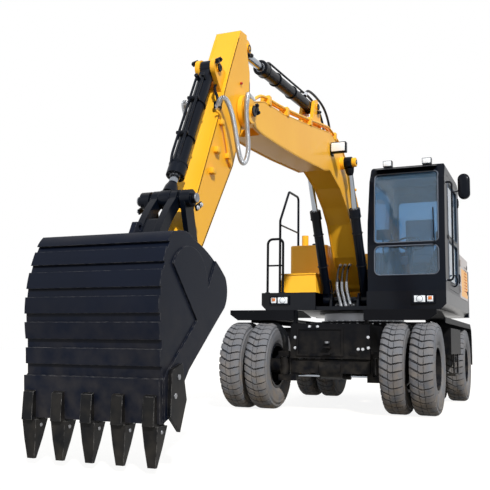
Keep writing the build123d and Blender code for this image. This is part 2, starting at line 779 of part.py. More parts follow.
def cab_body(inset):
    """The cab's outer form, pulled in by `inset` on every side."""
    with BuildPart() as body:
        with BuildSketch(side(CAB_MIDDLE)) as profile:
            with BuildLine():
                Polyline(
                    (CAB_REAR, DECK_TOP),
                    (UPPER_FRONT - 5, DECK_TOP),
                    (UPPER_FRONT - 5, 2100),
                    (UPPER_FRONT - 60, 2960),
                    (UPPER_FRONT - 160, CAB_TOP),
                    (-500, CAB_TOP),
                    (CAB_REAR, CAB_TOP - 90),
                    close=True,
                )
            make_face()
            fillet(profile.vertices().group_by(Axis.Y)[-1], 40)
            if inset:
                offset(amount=-inset, kind=Kind.INTERSECTION)
        extrude(profile.sketch, amount=CAB_WIDTH / 2, both=True)
        with BuildSketch(front(CAB_REAR)) as shell_face:
            with BuildLine():
                Polyline(
                    (CAB_RIGHT + inset, DECK_TOP),
                    (UPPER_HALF - inset, DECK_TOP),
                    (UPPER_HALF - inset, CAB_TOP + 10 - inset),
                    (CAB_RIGHT + 30 + inset, CAB_TOP + 10 - inset),
                    (CAB_RIGHT + inset, 2400),
                    close=True,
                )
            make_face()
            fillet(shell_face.vertices().group_by(Axis.Y)[-1], 60)
        extrude(shell_face.sketch, amount=UPPER_FRONT - CAB_REAR, mode=Mode.INTERSECT)
    return body.part


def cab_windows(clearance):
    """Prisms through every fixed window of the cab."""
    with BuildPart() as prisms:
        for low, high, rounding in ((1700, 2075, 70), (2125, 3060, 50)):
            with BuildSketch(front(500)) as pane:
                with Locations((CAB_MIDDLE + 5, (low + high) / 2)):
                    RectangleRounded(CAB_WIDTH - 180 - 2 * clearance, high - low - 2 * clearance, rounding)
            extrude(pane.sketch, amount=400)
        with BuildSketch(front(CAB_REAR - 50)) as pane:
            with Locations((CAB_MIDDLE, 2550)):
                RectangleRounded(CAB_WIDTH - 260 - 2 * clearance, 760 - 2 * clearance, 60)
        extrude(pane.sketch, amount=200)
        with BuildSketch(side(CAB_RIGHT + 20)) as pane:
            with Locations((50, 2480)):
                RectangleRounded(1200 - 2 * clearance, 1000 - 2 * clearance, 80)
        extrude(pane.sketch, amount=100, both=True)
    return prisms.part


def door_prism(clearance):
    """The cab door's outline, run through the left wall."""
    with BuildPart() as prism:
        with BuildSketch(side(UPPER_HALF)) as shape:
            with Locations(((CAB_DOOR[0] + CAB_DOOR[1]) / 2, (CAB_DOOR[2] + CAB_DOOR[3]) / 2)):
                RectangleRounded(
                    CAB_DOOR[1] - CAB_DOOR[0] - 2 * clearance,
                    CAB_DOOR[3] - CAB_DOOR[2] - 2 * clearance,
                    60,
                )
        extrude(shape.sketch, amount=100, both=True)
    return prism.part


def door_window(clearance):
    """The cab door's window, run through the door."""
    with BuildPart() as prism:
        with BuildSketch(side(UPPER_HALF)) as shape:
            for low, high in ((1640, 2180), (2240, 2960)):
                with Locations(((CAB_DOOR[0] + CAB_DOOR[1]) / 2, (low + high) / 2)):
                    RectangleRounded(940 - 2 * clearance, high - low - 2 * clearance, 60)
        extrude(shape.sketch, amount=100, both=True)
    return prism.part


DOOR_HINGE = (CAB_DOOR[0] - 15, UPPER_HALF + 13)
HINGE_RADIUS = 12.0
HINGE_PIN = 6.0
HINGE_HALF = 40.0
HINGE_HEIGHTS = (1750.0, 2850.0)
with BuildPart() as cab_shell:
    add(cab_body(0))
    add(cab_body(CAB_WALL), mode=Mode.SUBTRACT)
    add(cab_windows(0), mode=Mode.SUBTRACT)
    add(door_prism(0), mode=Mode.SUBTRACT)
    for height in HINGE_HEIGHTS:
        for low in (height - HINGE_HALF - 26, height + HINGE_HALF + 1):
            block(
                both_sides(DOOR_HINGE[0], 10),
                (UPPER_HALF, DOOR_HINGE[1] + HINGE_PIN),
                (low, low + 25),
            )
        post(*DOOR_HINGE, both_sides(height, HINGE_HALF + 20), HINGE_PIN)
parts["cab_shell"] = cab_shell

with BuildPart() as cab_glass:
    add(cab_body(GLASS_IN))
    add(cab_body(GLASS_IN + GLASS), mode=Mode.SUBTRACT)
    add(cab_windows(0.5), mode=Mode.INTERSECT)
parts["cab_glass"] = cab_glass

with BuildPart() as cab_door:
    add(cab_body(0))
    add(cab_body(CAB_WALL), mode=Mode.SUBTRACT)
    add(door_prism(DOOR_GAP), mode=Mode.INTERSECT)
    add(door_window(0), mode=Mode.SUBTRACT)
    for height in HINGE_HEIGHTS:
        post(*DOOR_HINGE, both_sides(height, HINGE_HALF), HINGE_RADIUS)
        block(
            (DOOR_HINGE[0], CAB_DOOR[0] + 60),
            (UPPER_HALF, UPPER_HALF + 10),
            both_sides(height, HINGE_HALF),
        )
        post(*DOOR_HINGE, both_sides(height, HINGE_HALF), HINGE_PIN + RUNNING, mode=Mode.SUBTRACT)
parts["cab_door"] = cab_door

with BuildPart() as cab_door_glass:
    add(cab_body(GLASS_IN))
    add(cab_body(GLASS_IN + GLASS), mode=Mode.SUBTRACT)
    add(door_window(0.5), mode=Mode.INTERSECT)
parts["cab_door_glass"] = cab_door_glass

with BuildPart() as seat:
    seat_width = 0.48 * CAB_WIDTH
    plate([(-330, 1905), (120, 1905), (130, 2030), (-300, 2010)], CAB_MIDDLE, seat_width, rounding=25)
    plate(
        [(-330, 1990), (-420, 2650), (-310, 2660), (-210, 2010)],
        CAB_MIDDLE,
        seat_width - 20,
        rounding=25,
    )
parts["seat"] = seat

with BuildPart() as cab_console:
    floor_top = DECK_TOP + CAB_WALL
    pod_half = 0.055 * CAB_WIDTH
    block((-280, 60), both_sides(CAB_MIDDLE, 0.145 * CAB_WIDTH), (floor_top, 1905))
    for y in both_sides(CAB_MIDDLE, 0.31 * CAB_WIDTH):
        block((-330, 180), both_sides(y, pod_half), (floor_top, 2080))
    block((480, 640), both_sides(CAB_MIDDLE, pod_half), (floor_top, 1640))
parts["cab_console"] = cab_console

COLUMN_TILT = radians(20)
COLUMN_LENGTH = 520.0
with BuildPart() as steering_wheel:
    column_plane = Plane(
        origin=at(560, CAB_MIDDLE, 1650.8),
        x_dir=(0, 1, 0),
        z_dir=(-sin(COLUMN_TILT), 0, cos(COLUMN_TILT)),
    )
    with BuildSketch(column_plane) as column:
        Circle(30)
    extrude(column.sketch, amount=COLUMN_LENGTH)
    with BuildSketch(column_plane.offset(COLUMN_LENGTH)) as wheel_rim:
        Circle(190)
        Circle(165, mode=Mode.SUBTRACT)
        Rectangle(340, 30)
    extrude(wheel_rim.sketch, amount=25)
parts["steering_wheel"] = steering_wheel

with BuildPart() as cab_rail_mirror:
    rail_y = UPPER_HALF + 85
    pipe([(740, UPPER_HALF, 1620), (740, rail_y, 1620), (690, rail_y, 2900), (690, UPPER_HALF, 2900)], 13, 40)
    pipe([(690, UPPER_HALF + 85, 2760), (670, UPPER_HALF + 150, 2770), (665, UPPER_HALF + 235, 2830)], 9, 30)
    with BuildSketch(front(640)) as glass_face:
        with Locations((UPPER_HALF + 235, 2830)):
            RectangleRounded(150, 330, 74)
    extrude(glass_face.sketch, amount=50)
parts["cab_rail_mirror"] = cab_rail_mirror

with BuildPart() as lamps:
    for y in (UPPER_HALF - 281, 265 - UPPER_HALF):
        block((UPPER_FRONT, UPPER_FRONT + 12), (y - 130, y + 130), (1330, 1440))
    for y in (CAB_RIGHT + 245, UPPER_HALF - 235):
        block((560, 640), (y - 60, y + 60), (CAB_TOP + 10, CAB_TOP + 90))
        block((570, 600), (y - 15, y + 15), (CAB_TOP, CAB_TOP + 10))
parts["lamps"] = lamps

# Boom
with BuildPart() as boom:
    with BuildSketch(side(BOOM_Y)) as boom_shape:
        with BuildLine():
            Polyline(
                (4510, 2900),
                (4080, 3040),
                (3540, 3080),
                (2760, 3200),
                (1880, 3350),
                (1580, 3320),
                (1350, 3270),
                (950, 3050),
                (520, 2680),
                (220, 2240),
                (-110, 1790),
                (-110, 1640),
                (60, 1560),
                (600, 1970),
                (870, 2380),
                (1090, 2570),
                (1420, 2760),
                (1880, 2890),
                (2080, 2840),
                (3080, 2760),
                (3680, 2730),
                (4115, 2720),
                (4430, 2750),
                close=True,
            )
        make_face()
        with Locations(BOOM_FOOT, ARM_PIVOT):
            Circle(150)
    extrude(boom_shape.sketch, amount=BOOM_HALF, both=True)
    cross_bar(ARM_PIVOT, BOOM_Y, 110, 2 * 205)
    cross_bar(LIFT_HEAD, BOOM_Y, 80, 2 * (LIFT_Y - EYE_HALF - PLAY))
    block((4080, 4900), both_sides(BOOM_Y, CLEVIS_HALF_GAP), (2500, 3300), mode=Mode.SUBTRACT)
    cross_bar(ARM_PIVOT, BOOM_Y, 45, 2 * 225)
    cross_bar(BOOM_FOOT, BOOM_Y, 50 + RUNNING, 500, mode=Mode.SUBTRACT)
    for y in both_sides(BOOM_Y, EYE_GAP_HALF + EAR_THICK / 2):
        plate(
            [(1950, 3280), (2060, 3640), (2150, 3690), (2230, 3650), (2300, 3480), (2340, 3230)],
            y,
            EAR_THICK,
        )
    cross_bar(STICK_FOOT, BOOM_Y, 38, 2 * (EYE_GAP_HALF + EAR_THICK + 12))
parts["boom"] = boom


def direction(start, end):
    """Unit vector from one side-view point to another, and the distance."""
    reach = hypot(end[0] - start[0], end[1] - start[1])
    return ((end[0] - start[0]) / reach, (end[1] - start[1]) / reach, reach)


def ram_plane(start, end, across, distance):
    """A plane square to a cylinder's axis, this far along it from its foot pin."""
    dx, dz, _ = direction(start, end)
    return Plane(
        origin=at(start[0] + dx * distance, across, start[1] + dz * distance),
        x_dir=(0, 1, 0),
        z_dir=(dx, 0, dz),
    )


def ram_tube(start, end, across, radius, rod_radius, barrel_start, length, eye_radius, pin_radius):
    """A cylinder's tube: foot eye, barrel and gland, bored for its rod."""
    with BuildPart() as piece:
        cross_bar(start, across, eye_radius, 2 * EYE_HALF)
        with BuildSketch(ram_plane(start, end, across, 0)) as neck:
            Rectangle(2 * EYE_HALF, 2 * EYE_HALF)
        extrude(neck.sketch, amount=barrel_start)
        for near, far, size in (
            (barrel_start, length - 110, radius),
            (length - 110, length, radius + 12),
        ):
            with BuildSketch(ram_plane(start, end, across, near)) as section:
                Circle(size)
            extrude(section.sketch, amount=far - near)
        with BuildSketch(ram_plane(start, end, across, barrel_start + 30)) as section:
            Circle(rod_radius + RUNNING)
        extrude(section.sketch, amount=length, mode=Mode.SUBTRACT)
        if pin_radius:
            cross_bar(start, across, pin_radius + RUNNING, 200, mode=Mode.SUBTRACT)
    return piece


def ram_rod(start, end, across, rod_radius, buried, eye_radius):
    """A cylinder's rod with its eye and its own length of the head pin."""
    _, _, reach = direction(start, end)
    with BuildPart() as piece:
        cross_bar(end, across, eye_radius, 2 * EYE_HALF)
        with BuildSketch(ram_plane(start, end, across, buried)) as section:
            Circle(rod_radius)
        extrude(section.sketch, amount=reach - buried)
    return piece


for place, across in (("left", BOOM_Y + LIFT_Y), ("right", BOOM_Y - LIFT_Y)):
    parts["boom_cylinder_" + place] = ram_tube(LIFT_FOOT, LIFT_HEAD, across, 61, 37, 120, 1283, 72, 40)
    parts["boom_rod_" + place] = ram_rod(LIFT_FOOT, LIFT_HEAD, across, 37, 580, 72)

parts["arm_cylinder"] = ram_tube(STICK_FOOT, STICK_HEAD, BOOM_Y, 65, 40, 230, 1626, 72, 38)
parts["arm_rod"] = ram_rod(STICK_FOOT, STICK_HEAD, BOOM_Y, 40, 618, 72)
parts["bucket_cylinder"] = ram_tube(CURL_FOOT, LINK_TOP, BOOM_Y, 60, 35, 110, 1176, 70, 35)
parts["bucket_rod"] = ram_rod(CURL_FOOT, LINK_TOP, BOOM_Y, 35, 220, 70)

# Arm
with BuildPart() as arm:
    with BuildSketch(side(BOOM_Y)) as arm_shape:
        with BuildLine():
            Polyline(
                (4420, 3568),
                (4560, 3558),
                (4788, 3100),
                (4971, 2690),
                (5411, 1800),
                (5752, 1130),
                (5606, 1050),
                (5237, 1525),
                (4689, 2285),
                (4333, 3070),
                (4338, 3234),
                (4410, 3440),
                close=True,
            )
        make_face()
        with Locations(BUCKET_PIVOT):
            Circle(85)
        with Locations(ARM_PIVOT):
            Circle(150)
    extrude(arm_shape.sketch, amount=ARM_HALF, both=True)
    for y in both_sides(BOOM_Y, EYE_GAP_HALF + EAR_THICK / 2):
        capsule(STICK_HEAD, (4460, 3400), 80, 120, y, EAR_THICK)
        capsule(CURL_FOOT, (4800, 2950), 80, 110, y, EAR_THICK)
    block((4200, 4500), (BOOM_Y - EYE_GAP_HALF, BOOM_Y + EYE_GAP_HALF), (3320, 3700), mode=Mode.SUBTRACT)
    for y in both_sides(BOOM_Y, EYE_GAP_HALF + EAR_THICK / 2 + 10):
        cross_bar(STICK_HEAD, y, 38, EAR_THICK + 18)
    cross_bar(CURL_FOOT, BOOM_Y, 35, 2 * (EYE_GAP_HALF + EAR_THICK + 12))
    cross_bar(ARM_PIVOT, BOOM_Y, 45 + RUNNING, 400, mode=Mode.SUBTRACT)
    cross_bar(BUCKET_PIVOT, BOOM_Y, 40 + RUNNING, 400, mode=Mode.SUBTRACT)
    cross_bar(ROCKER_PIVOT, BOOM_Y, 35 + RUNNING, 400, mode=Mode.SUBTRACT)
parts["arm"] = arm

with BuildPart() as rocker:
    for y in both_sides(BOOM_Y, ROCKER_INNER + ROCKER_THICK / 2):
        capsule(ROCKER_PIVOT, LINK_TOP, 62, 66, y, ROCKER_THICK)
    cross_bar(ROCKER_PIVOT, BOOM_Y, 35, 2 * (ROCKER_INNER + ROCKER_THICK + 15))
    for hand in (-1, 1):
        cross_bar(LINK_TOP, BOOM_Y + hand * (LINK_HALF + 1 + 235) / 2, 38, 235 - LINK_HALF - 1)
        cross_bar(LINK_TOP, BOOM_Y + hand * 168, 66, 76)
parts["rocker"] = rocker

# Link: two plates bowed clear of the arm's tip, with round bosses and a web at the bucket's end
LINK_WIDTH = 90.0
LINK_BOW = 35.0
link_x, link_z, _ = direction(LINK_FOOT, LINK_TOP)
LINK_MIDDLE = (
    (LINK_TOP[0] + LINK_FOOT[0]) / 2 + LINK_BOW * link_z,
    (LINK_TOP[1] + LINK_FOOT[1]) / 2 - LINK_BOW * link_x,
)
with BuildPart() as bucket_link:
    for y in both_sides(BOOM_Y, (EYE_GAP_HALF + LINK_HALF) / 2):
        with BuildSketch(side(y)) as link_plate:
            with BuildLine():
                ThreePointArc(LINK_TOP, LINK_MIDDLE, LINK_FOOT)
            trace(line_width=LINK_WIDTH)
            with Locations(LINK_TOP):
                Circle(68)
            with Locations(LINK_FOOT):
                Circle(72)
        extrude(link_plate.sketch, amount=(LINK_HALF - EYE_GAP_HALF) / 2, both=True)
    capsule(LINK_MIDDLE, LINK_FOOT, 36, 60, BOOM_Y, 2 * EYE_GAP_HALF + 10)
    cross_bar(LINK_FOOT, BOOM_Y, 72, 2 * (BUCKET_EAR_INNER - PLAY))
    cross_bar(LINK_FOOT, BOOM_Y, 35 + RUNNING, 400, mode=Mode.SUBTRACT)
parts["bucket_link"] = bucket_link

# Bucket: rolled sheet between two side plates, with wear straps, hinge ears and a lifting eye
MOUTH_TOP = (5775.0, 996.0)
KNEE = (6100.0, 1335.0)
SHOULDER = (6455.0, 1350.0)
HEEL = (6510.0, 772.0)
LIP = (6470.0, 300.0)
STRAP_PROUD = 20.0
LIP_PLATE_TOP = 552.0
LIP_PLATE_PROUD = 36.0
WEAR_PLATE = 12.0
# top and bottom height of each wear strap on the bucket's back
STRAPS = ((1444, 1373), (1335, 1244), (1197, 1092), (1038, 935), (882, 778), (724, 623))


def bucket_section(grown):
    """The bucket's outer section in side view, with its back and top grown outwards by `grown`."""
    with BuildLine() as outline:
        Line(MOUTH_TOP, KNEE)
        ThreePointArc(KNEE, (6285, 1462 + grown), (SHOULDER[0] + grown, SHOULDER[1]))
        ThreePointArc((SHOULDER[0] + grown, SHOULDER[1]), (6532 + grown, 1083), (HEEL[0] + grown, HEEL[1]))
        Line((HEEL[0] + grown, HEEL[1]), (LIP[0] + grown, LIP[1]))
        Line((LIP[0] + grown, LIP[1]), MOUTH_TOP)
    make_face(outline.edges())


def bucket_cheek():
    """A side plate's outline: the sheet's section with a full edge beyond the mouth."""
    with BuildLine() as outline:
        ThreePointArc(SHOULDER, (6532, 1083), HEEL)
        Line(HEEL, LIP)
        Line(LIP, (6398, 327))
        Line((6398, 327), (6168, 599))
        ThreePointArc((6168, 599), (5880, 830), (5650, 1010))
        ThreePointArc((5650, 1010), (5606, 1110), (5640, 1225))
        ThreePointArc((5640, 1225), (5850, 1345), (6120, 1430))
        ThreePointArc((6120, 1430), (6310, 1458), SHOULDER)
    make_face(outline.edges())


with BuildPart() as bucket:
    with BuildSketch(side(BOOM_Y)) as sheet:
        bucket_section(0)
    extrude(sheet.sketch, amount=BUCKET_HALF, both=True)
    for top, bottom in STRAPS:
        with BuildSketch(side(BOOM_Y)) as strap:
            bucket_section(STRAP_PROUD)
            with Locations((6430, (top + bottom) / 2)):
                Rectangle(300, top - bottom, mode=Mode.INTERSECT)
        extrude(strap.sketch, amount=BUCKET_HALF, both=True)
    with BuildSketch(side(BOOM_Y)) as lip_plate:
        with BuildLine():
            Polyline(
                (6470, LIP_PLATE_TOP),
                (6492 + LIP_PLATE_PROUD, LIP_PLATE_TOP),
                (LIP[0] + LIP_PLATE_PROUD, LIP[1] - 8),
                (LIP[0] - 20, LIP[1] - 8),
                close=True,
            )
        make_face()
    extrude(lip_plate.sketch, amount=BUCKET_HALF, both=True)
    for y in both_sides(BOOM_Y, BUCKET_HALF - BUCKET_SHEET / 2):
        with BuildSketch(side(y)) as cheek:
            bucket_cheek()
        extrude(cheek.sketch, amount=BUCKET_SHEET / 2, both=True)
    for y in both_sides(BOOM_Y, BUCKET_HALF + WEAR_PLATE / 2):
        with BuildSketch(side(y)) as disc:
            with Locations((6180, 1110)):
                Circle(266)
            with BuildLine():
                Polyline((6412, 1245), (6060, 902), (5850, 700), (5800, 1500), (6500, 1500), close=True)
            make_face(mode=Mode.INTERSECT)
        extrude(disc.sketch, amount=WEAR_PLATE / 2, both=True)
        with BuildSketch(side(y)) as edge_plate:
            bucket_cheek()
            with BuildLine():
                Polyline(
                    (5804, 1400),
                    (5804, 1314),
                    (5909, 1134),
                    (6058, 915),
                    (6487, 554),
                    (6600, 250),
                    (5400, 250),
                    (5400, 1400),
                    close=True,
                )
            make_face(mode=Mode.INTERSECT)
        extrude(edge_plate.sketch, amount=WEAR_PLATE / 2, both=True)
    for y in both_sides(BOOM_Y, BUCKET_EAR_INNER + BUCKET_EAR_THICK / 2):
        with BuildSketch(side(y)) as ear:
            with Locations(BUCKET_PIVOT, LINK_FOOT):
                Circle(92)
            with Locations((5800, 1010), (6120, 1340)):
                Circle(20)
            make_hull()
        extrude(ear.sketch, amount=BUCKET_EAR_THICK / 2, both=True)
    with BuildSketch(side(BOOM_Y)) as hollow:
        with BuildLine():
            Polyline((6440, 300), (6400, 200), (5700, 900), (5790, 980), (6114, 1318))
            ThreePointArc((6114, 1318), (6285, 1440), (6437, 1338))
            ThreePointArc((6437, 1338), (6511, 1083), (6489, 772))
            Line((6489, 772), (6440, 300))
        make_face()
    extrude(hollow.sketch, amount=BUCKET_HALF - BUCKET_SHEET, both=True, mode=Mode.SUBTRACT)
    plate(
        [(5980, 1500), (5985, 1560), (6010, 1590), (6060, 1580), (6130, 1440), (6180, 1400), (6045, 1270)],
        BOOM_Y,
        40,
    )
    cross_bar((6020, 1545), BOOM_Y, 20, 60, mode=Mode.SUBTRACT)
    cross_bar(BUCKET_PIVOT, BOOM_Y, 40, 2 * (BUCKET_EAR_INNER + BUCKET_EAR_THICK + 12))
    cross_bar(LINK_FOOT, BOOM_Y, 35, 2 * (BUCKET_EAR_INNER + BUCKET_EAR_THICK + 12))
parts["bucket"] = bucket

# Teeth: an adapter gripping the lip, and a wedge with a blunt tip; a cutter on each side plate
TOOTH_TOP = 280.0
TOOTH_TIP = 40.0
with BuildPart() as bucket_teeth:
    for step in range(-2, 3):
        tooth_y = BOOM_Y + step * TOOTH_PITCH
        front_x = LIP[0] + LIP_PLATE_PROUD
        with BuildSketch(side(tooth_y)) as adapter:
            with BuildLine():
                Polyline(
                    (LIP[0] - 10, LIP[1] - 8.3),
                    (front_x + 0.3, LIP[1] - 8.3),
                    (front_x + 15.3, 460),
                    (front_x + 40, 450),
                    (front_x + 45, TOOTH_TOP),
                    (LIP[0] - 60, TOOTH_TOP),
                    (LIP[0] - 40, LIP[1] - 8.3),
                    close=True,
                )
            make_face()
        extrude(adapter.sketch, amount=38, both=True)
        with BuildSketch(plan(TOOTH_TOP)) as root:
            with Locations((LIP[0] - 5, tooth_y)):
                Rectangle(120, 104)
        with BuildSketch(plan((TOOTH_TOP + TOOTH_TIP) / 2)) as waist:
            with Locations((LIP[0] + 3, tooth_y)):
                Rectangle(72, 84)
        with BuildSketch(plan(TOOTH_TIP)) as tip:
            with Locations((LIP[0] + 10, tooth_y)):
                Rectangle(22, 52)
        loft([root.sketch, waist.sketch, tip.sketch], ruled=True)
    for y in both_sides(BOOM_Y, BUCKET_HALF + WEAR_PLATE + 12.5):
        plate([(6305, 640), (6440, 600), (6440, 330), (6317, 233), (6240, 420)], y, 25)
parts["bucket_teeth"] = bucket_teeth

for label, piece in parts.items():
    piece.part.label = label
    export_step(piece.part, "parts/" + label + ".step")
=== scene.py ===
"""Wheeled excavator: finishes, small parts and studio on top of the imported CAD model.

Lengths are metres. Places are written from the slewing axis (X forward, Y left, Z up), and a finished
piece's mesh is moved into the model's frame when it is shipped.
"""

import logging
from collections.abc import Sequence
from dataclasses import dataclass, field
from enum import Enum
from math import cos, hypot, pi, radians, sin, tau

import bmesh
import bpy
from mathutils import Matrix, Vector


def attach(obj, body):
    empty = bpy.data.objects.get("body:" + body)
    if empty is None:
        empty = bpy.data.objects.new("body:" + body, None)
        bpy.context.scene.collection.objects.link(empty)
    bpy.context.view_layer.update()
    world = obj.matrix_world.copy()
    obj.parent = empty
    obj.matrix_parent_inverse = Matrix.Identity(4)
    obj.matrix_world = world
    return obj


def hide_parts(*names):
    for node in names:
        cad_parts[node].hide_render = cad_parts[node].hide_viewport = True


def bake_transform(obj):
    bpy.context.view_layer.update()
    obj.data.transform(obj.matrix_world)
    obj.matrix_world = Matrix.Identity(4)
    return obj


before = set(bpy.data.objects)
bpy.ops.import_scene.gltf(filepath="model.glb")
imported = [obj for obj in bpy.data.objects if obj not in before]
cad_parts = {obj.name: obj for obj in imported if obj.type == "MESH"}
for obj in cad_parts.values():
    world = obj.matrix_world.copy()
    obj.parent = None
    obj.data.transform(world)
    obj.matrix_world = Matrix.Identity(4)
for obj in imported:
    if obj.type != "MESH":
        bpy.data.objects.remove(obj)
LOG = logging.getLogger("excavator")

# the slewing axis at the floor, in the model's frame
SLEW = Vector((-2.155, -0.14, 0.0))
# the boom's middle plane, from the slewing axis
BOOM_Y = -0.12

# pivots of the working arm in side view, as x and z
ARM_PIVOT = (4.480, 2.820)
BUCKET_PIVOT = (5.674, 1.093)
ROCKER_PIVOT = (5.458, 1.405)
LINK_TOP = (5.603, 1.820)
LINK_FOOT = (5.930, 1.360)
LIFT_FOOT = (0.500, 1.400)
LIFT_HEAD = (1.360, 3.090)
STICK_FOOT = (2.150, 3.600)
STICK_HEAD = (4.320, 3.485)
CURL_FOOT = (4.960, 3.065)
# how far the lift cylinders stand from the boom's middle plane
LIFT_SPREAD = 0.266

# screen colours of the metal below worn paint and of the film on glass
BARE_METAL = "8d8a86"
FILM = "c3ccd2"

Place = Sequence[float]
ACROSS = Vector((0.0, 1.0, 0.0))


def angles(steps: int) -> list[float]:
    """The angles of a full turn in equal steps."""
    return [tau * step / steps for step in range(steps)]


def linear(code: str) -> tuple[float, float, float, float]:
    """Turns a screen colour into a linear one.

    Args:
        code: Six hexadecimal digits, such as "ffc33a".

    Returns:
        Linear red, green, blue and alpha.
    """
    channels = [int(code[i : i + 2], 16) / 255 for i in (0, 2, 4)]
    curve = [c / 12.92 if c <= 0.04045 else ((c + 0.055) / 1.055) ** 2.4 for c in channels]
    return (curve[0], curve[1], curve[2], 1.0)


class Axis(Enum):
    """The two directions that a profile is drawn in, and the one that it is swept along."""

    X = (1, 2, 0)
    Y = (0, 2, 1)
    Z = (0, 1, 2)

    def place(self, first: float, second: float, depth: float) -> Vector:
        """Puts a point of the profile in space.

        Args:
            first: Its first coordinate in the profile.
            second: Its second coordinate.
            depth: Its place along the sweep.

        Returns:
            The point.
        """
        point = Vector((0.0, 0.0, 0.0))
        for index, value in zip(self.value, (first, second, depth)):
            point[index] = value
        return point


class Slot(Enum):
    """The record's material slots."""

    YELLOW = "yellow_paint"
    BLACK = "black_paint"
    CHROME = "chrome"
    STEEL = "worn_steel"
    RUBBER = "tyre_rubber"
    GLASS = "cab_glass"
    CLOTH = "seat_cloth"
    PLASTIC = "console_plastic"
    LENS = "lamp_lens"


# ---------------------------------------------------------------- finishes


class Web:
    """Short ways to build a material's nodes."""

    def __init__(self, owner: bpy.types.Material | bpy.types.World) -> None:
        """Takes the node tree of a material, with its fresh surface shader, or of a world.

        Args:
            owner: The material or world whose nodes are built.
        """
        self.nodes = owner.node_tree.nodes
        self.links = owner.node_tree.links
        self.shader = self.nodes.get("Principled BSDF")

    def add(self, kind: str, **settings: object) -> bpy.types.Node:
        """Adds a node.

        Args:
            kind: The node's type.
            settings: The node's own settings.

        Returns:
            The node.
        """
        node = self.nodes.new(kind)
        for key, value in settings.items():
            setattr(node, key, value)
        return node

    def join(self, source: object, target: bpy.types.NodeSocket) -> None:
        """Links a socket into another, or writes a plain value there.

        Args:
            source: The socket or the value.
            target: The socket that takes it.
        """
        if isinstance(source, bpy.types.NodeSocket):
            self.links.new(source, target)
        else:
            target.default_value = source

    def noise(self, place: object, scale: float, detail: float) -> bpy.types.NodeSocket:
        """Soft noise between 0 and 1.

        Args:
            place: The coordinates that it is read at.
            scale: How many lumps it has in a metre.
            detail: How many finer layers lie on it.

        Returns:
            The noise.
        """
        node = self.add("ShaderNodeTexNoise")
        self.join(place, node.inputs["Vector"])
        node.inputs["Scale"].default_value = scale
        node.inputs["Detail"].default_value = detail
        return node.outputs["Fac"]

    def split(self, vector: object, axis: str) -> bpy.types.NodeSocket:
        """Takes one coordinate of a vector.

        Args:
            vector: The vector.
            axis: "X", "Y" or "Z".

        Returns:
            The coordinate.
        """
        node = self.add("ShaderNodeSeparateXYZ")
        self.join(vector, node.inputs[0])
        return node.outputs[axis]

    def span(self, value: object, start: float, end: float) -> bpy.types.NodeSocket:
        """Maps a range onto 0 to 1.

        Args:
            value: The number that is mapped.
            start: Where the result is 0, and on beyond it.
            end: Where the result is 1, and on beyond it.

        Returns:
            The result.
        """
        node = self.add("ShaderNodeMapRange")
        self.join(value, node.inputs["Value"])
        node.inputs["From Min"].default_value = start
        node.inputs["From Max"].default_value = end
        return node.outputs[0]

    def arithmetic(self, kind: str, first: object, second: object) -> bpy.types.NodeSocket:
        """Reckons with two numbers.

        Args:
            kind: The Math node's operation.
            first: The first number.
            second: The second number.

        Returns:
            The result.
        """
        node = self.add("ShaderNodeMath", operation=kind)
        self.join(first, node.inputs[0])
        self.join(second, node.inputs[1])
        return node.outputs[0]

    def multiply(self, first: object, second: object) -> bpy.types.NodeSocket:
        """The product of two numbers."""
        return self.arithmetic("MULTIPLY", first, second)

    def most(self, first: object, second: object) -> bpy.types.NodeSocket:
        """The larger of two numbers."""
        return self.arithmetic("MAXIMUM", first, second)

    def mix(self, share: object, first: object, second: object) -> bpy.types.NodeSocket:
        """Mixes two colours.

        Args:
            share: How much of the second colour there is, from 0 to 1.
            first: The first colour.
            second: The second colour.

        Returns:
            The mixed colour.
        """
        node = self.add("ShaderNodeMix", data_type="RGBA")
        for index, source in ((0, share), (6, first), (7, second)):
            self.join(source, node.inputs[index])
        return node.outputs[2]

    def blend(self, share: object, first: object, second: object) -> bpy.types.NodeSocket:
        """Mixes two numbers.

        Args:
            share: How much of the second number there is, from 0 to 1.
            first: The first number.
            second: The second number.

        Returns:
            The mixed number.
        """
        node = self.add("ShaderNodeMix", data_type="FLOAT")
        for index, source in ((0, share), (2, first), (3, second)):
            self.join(source, node.inputs[index])
        return node.outputs[0]

    def background(self) -> bpy.types.NodeSocket:
        """1 for rays that show a background: to the camera, in gloss and through glass."""
        path = self.add("ShaderNodeLightPath").outputs
        return self.most(path["Is Camera Ray"], self.most(path["Is Glossy Ray"], path["Is Transmission Ray"]))


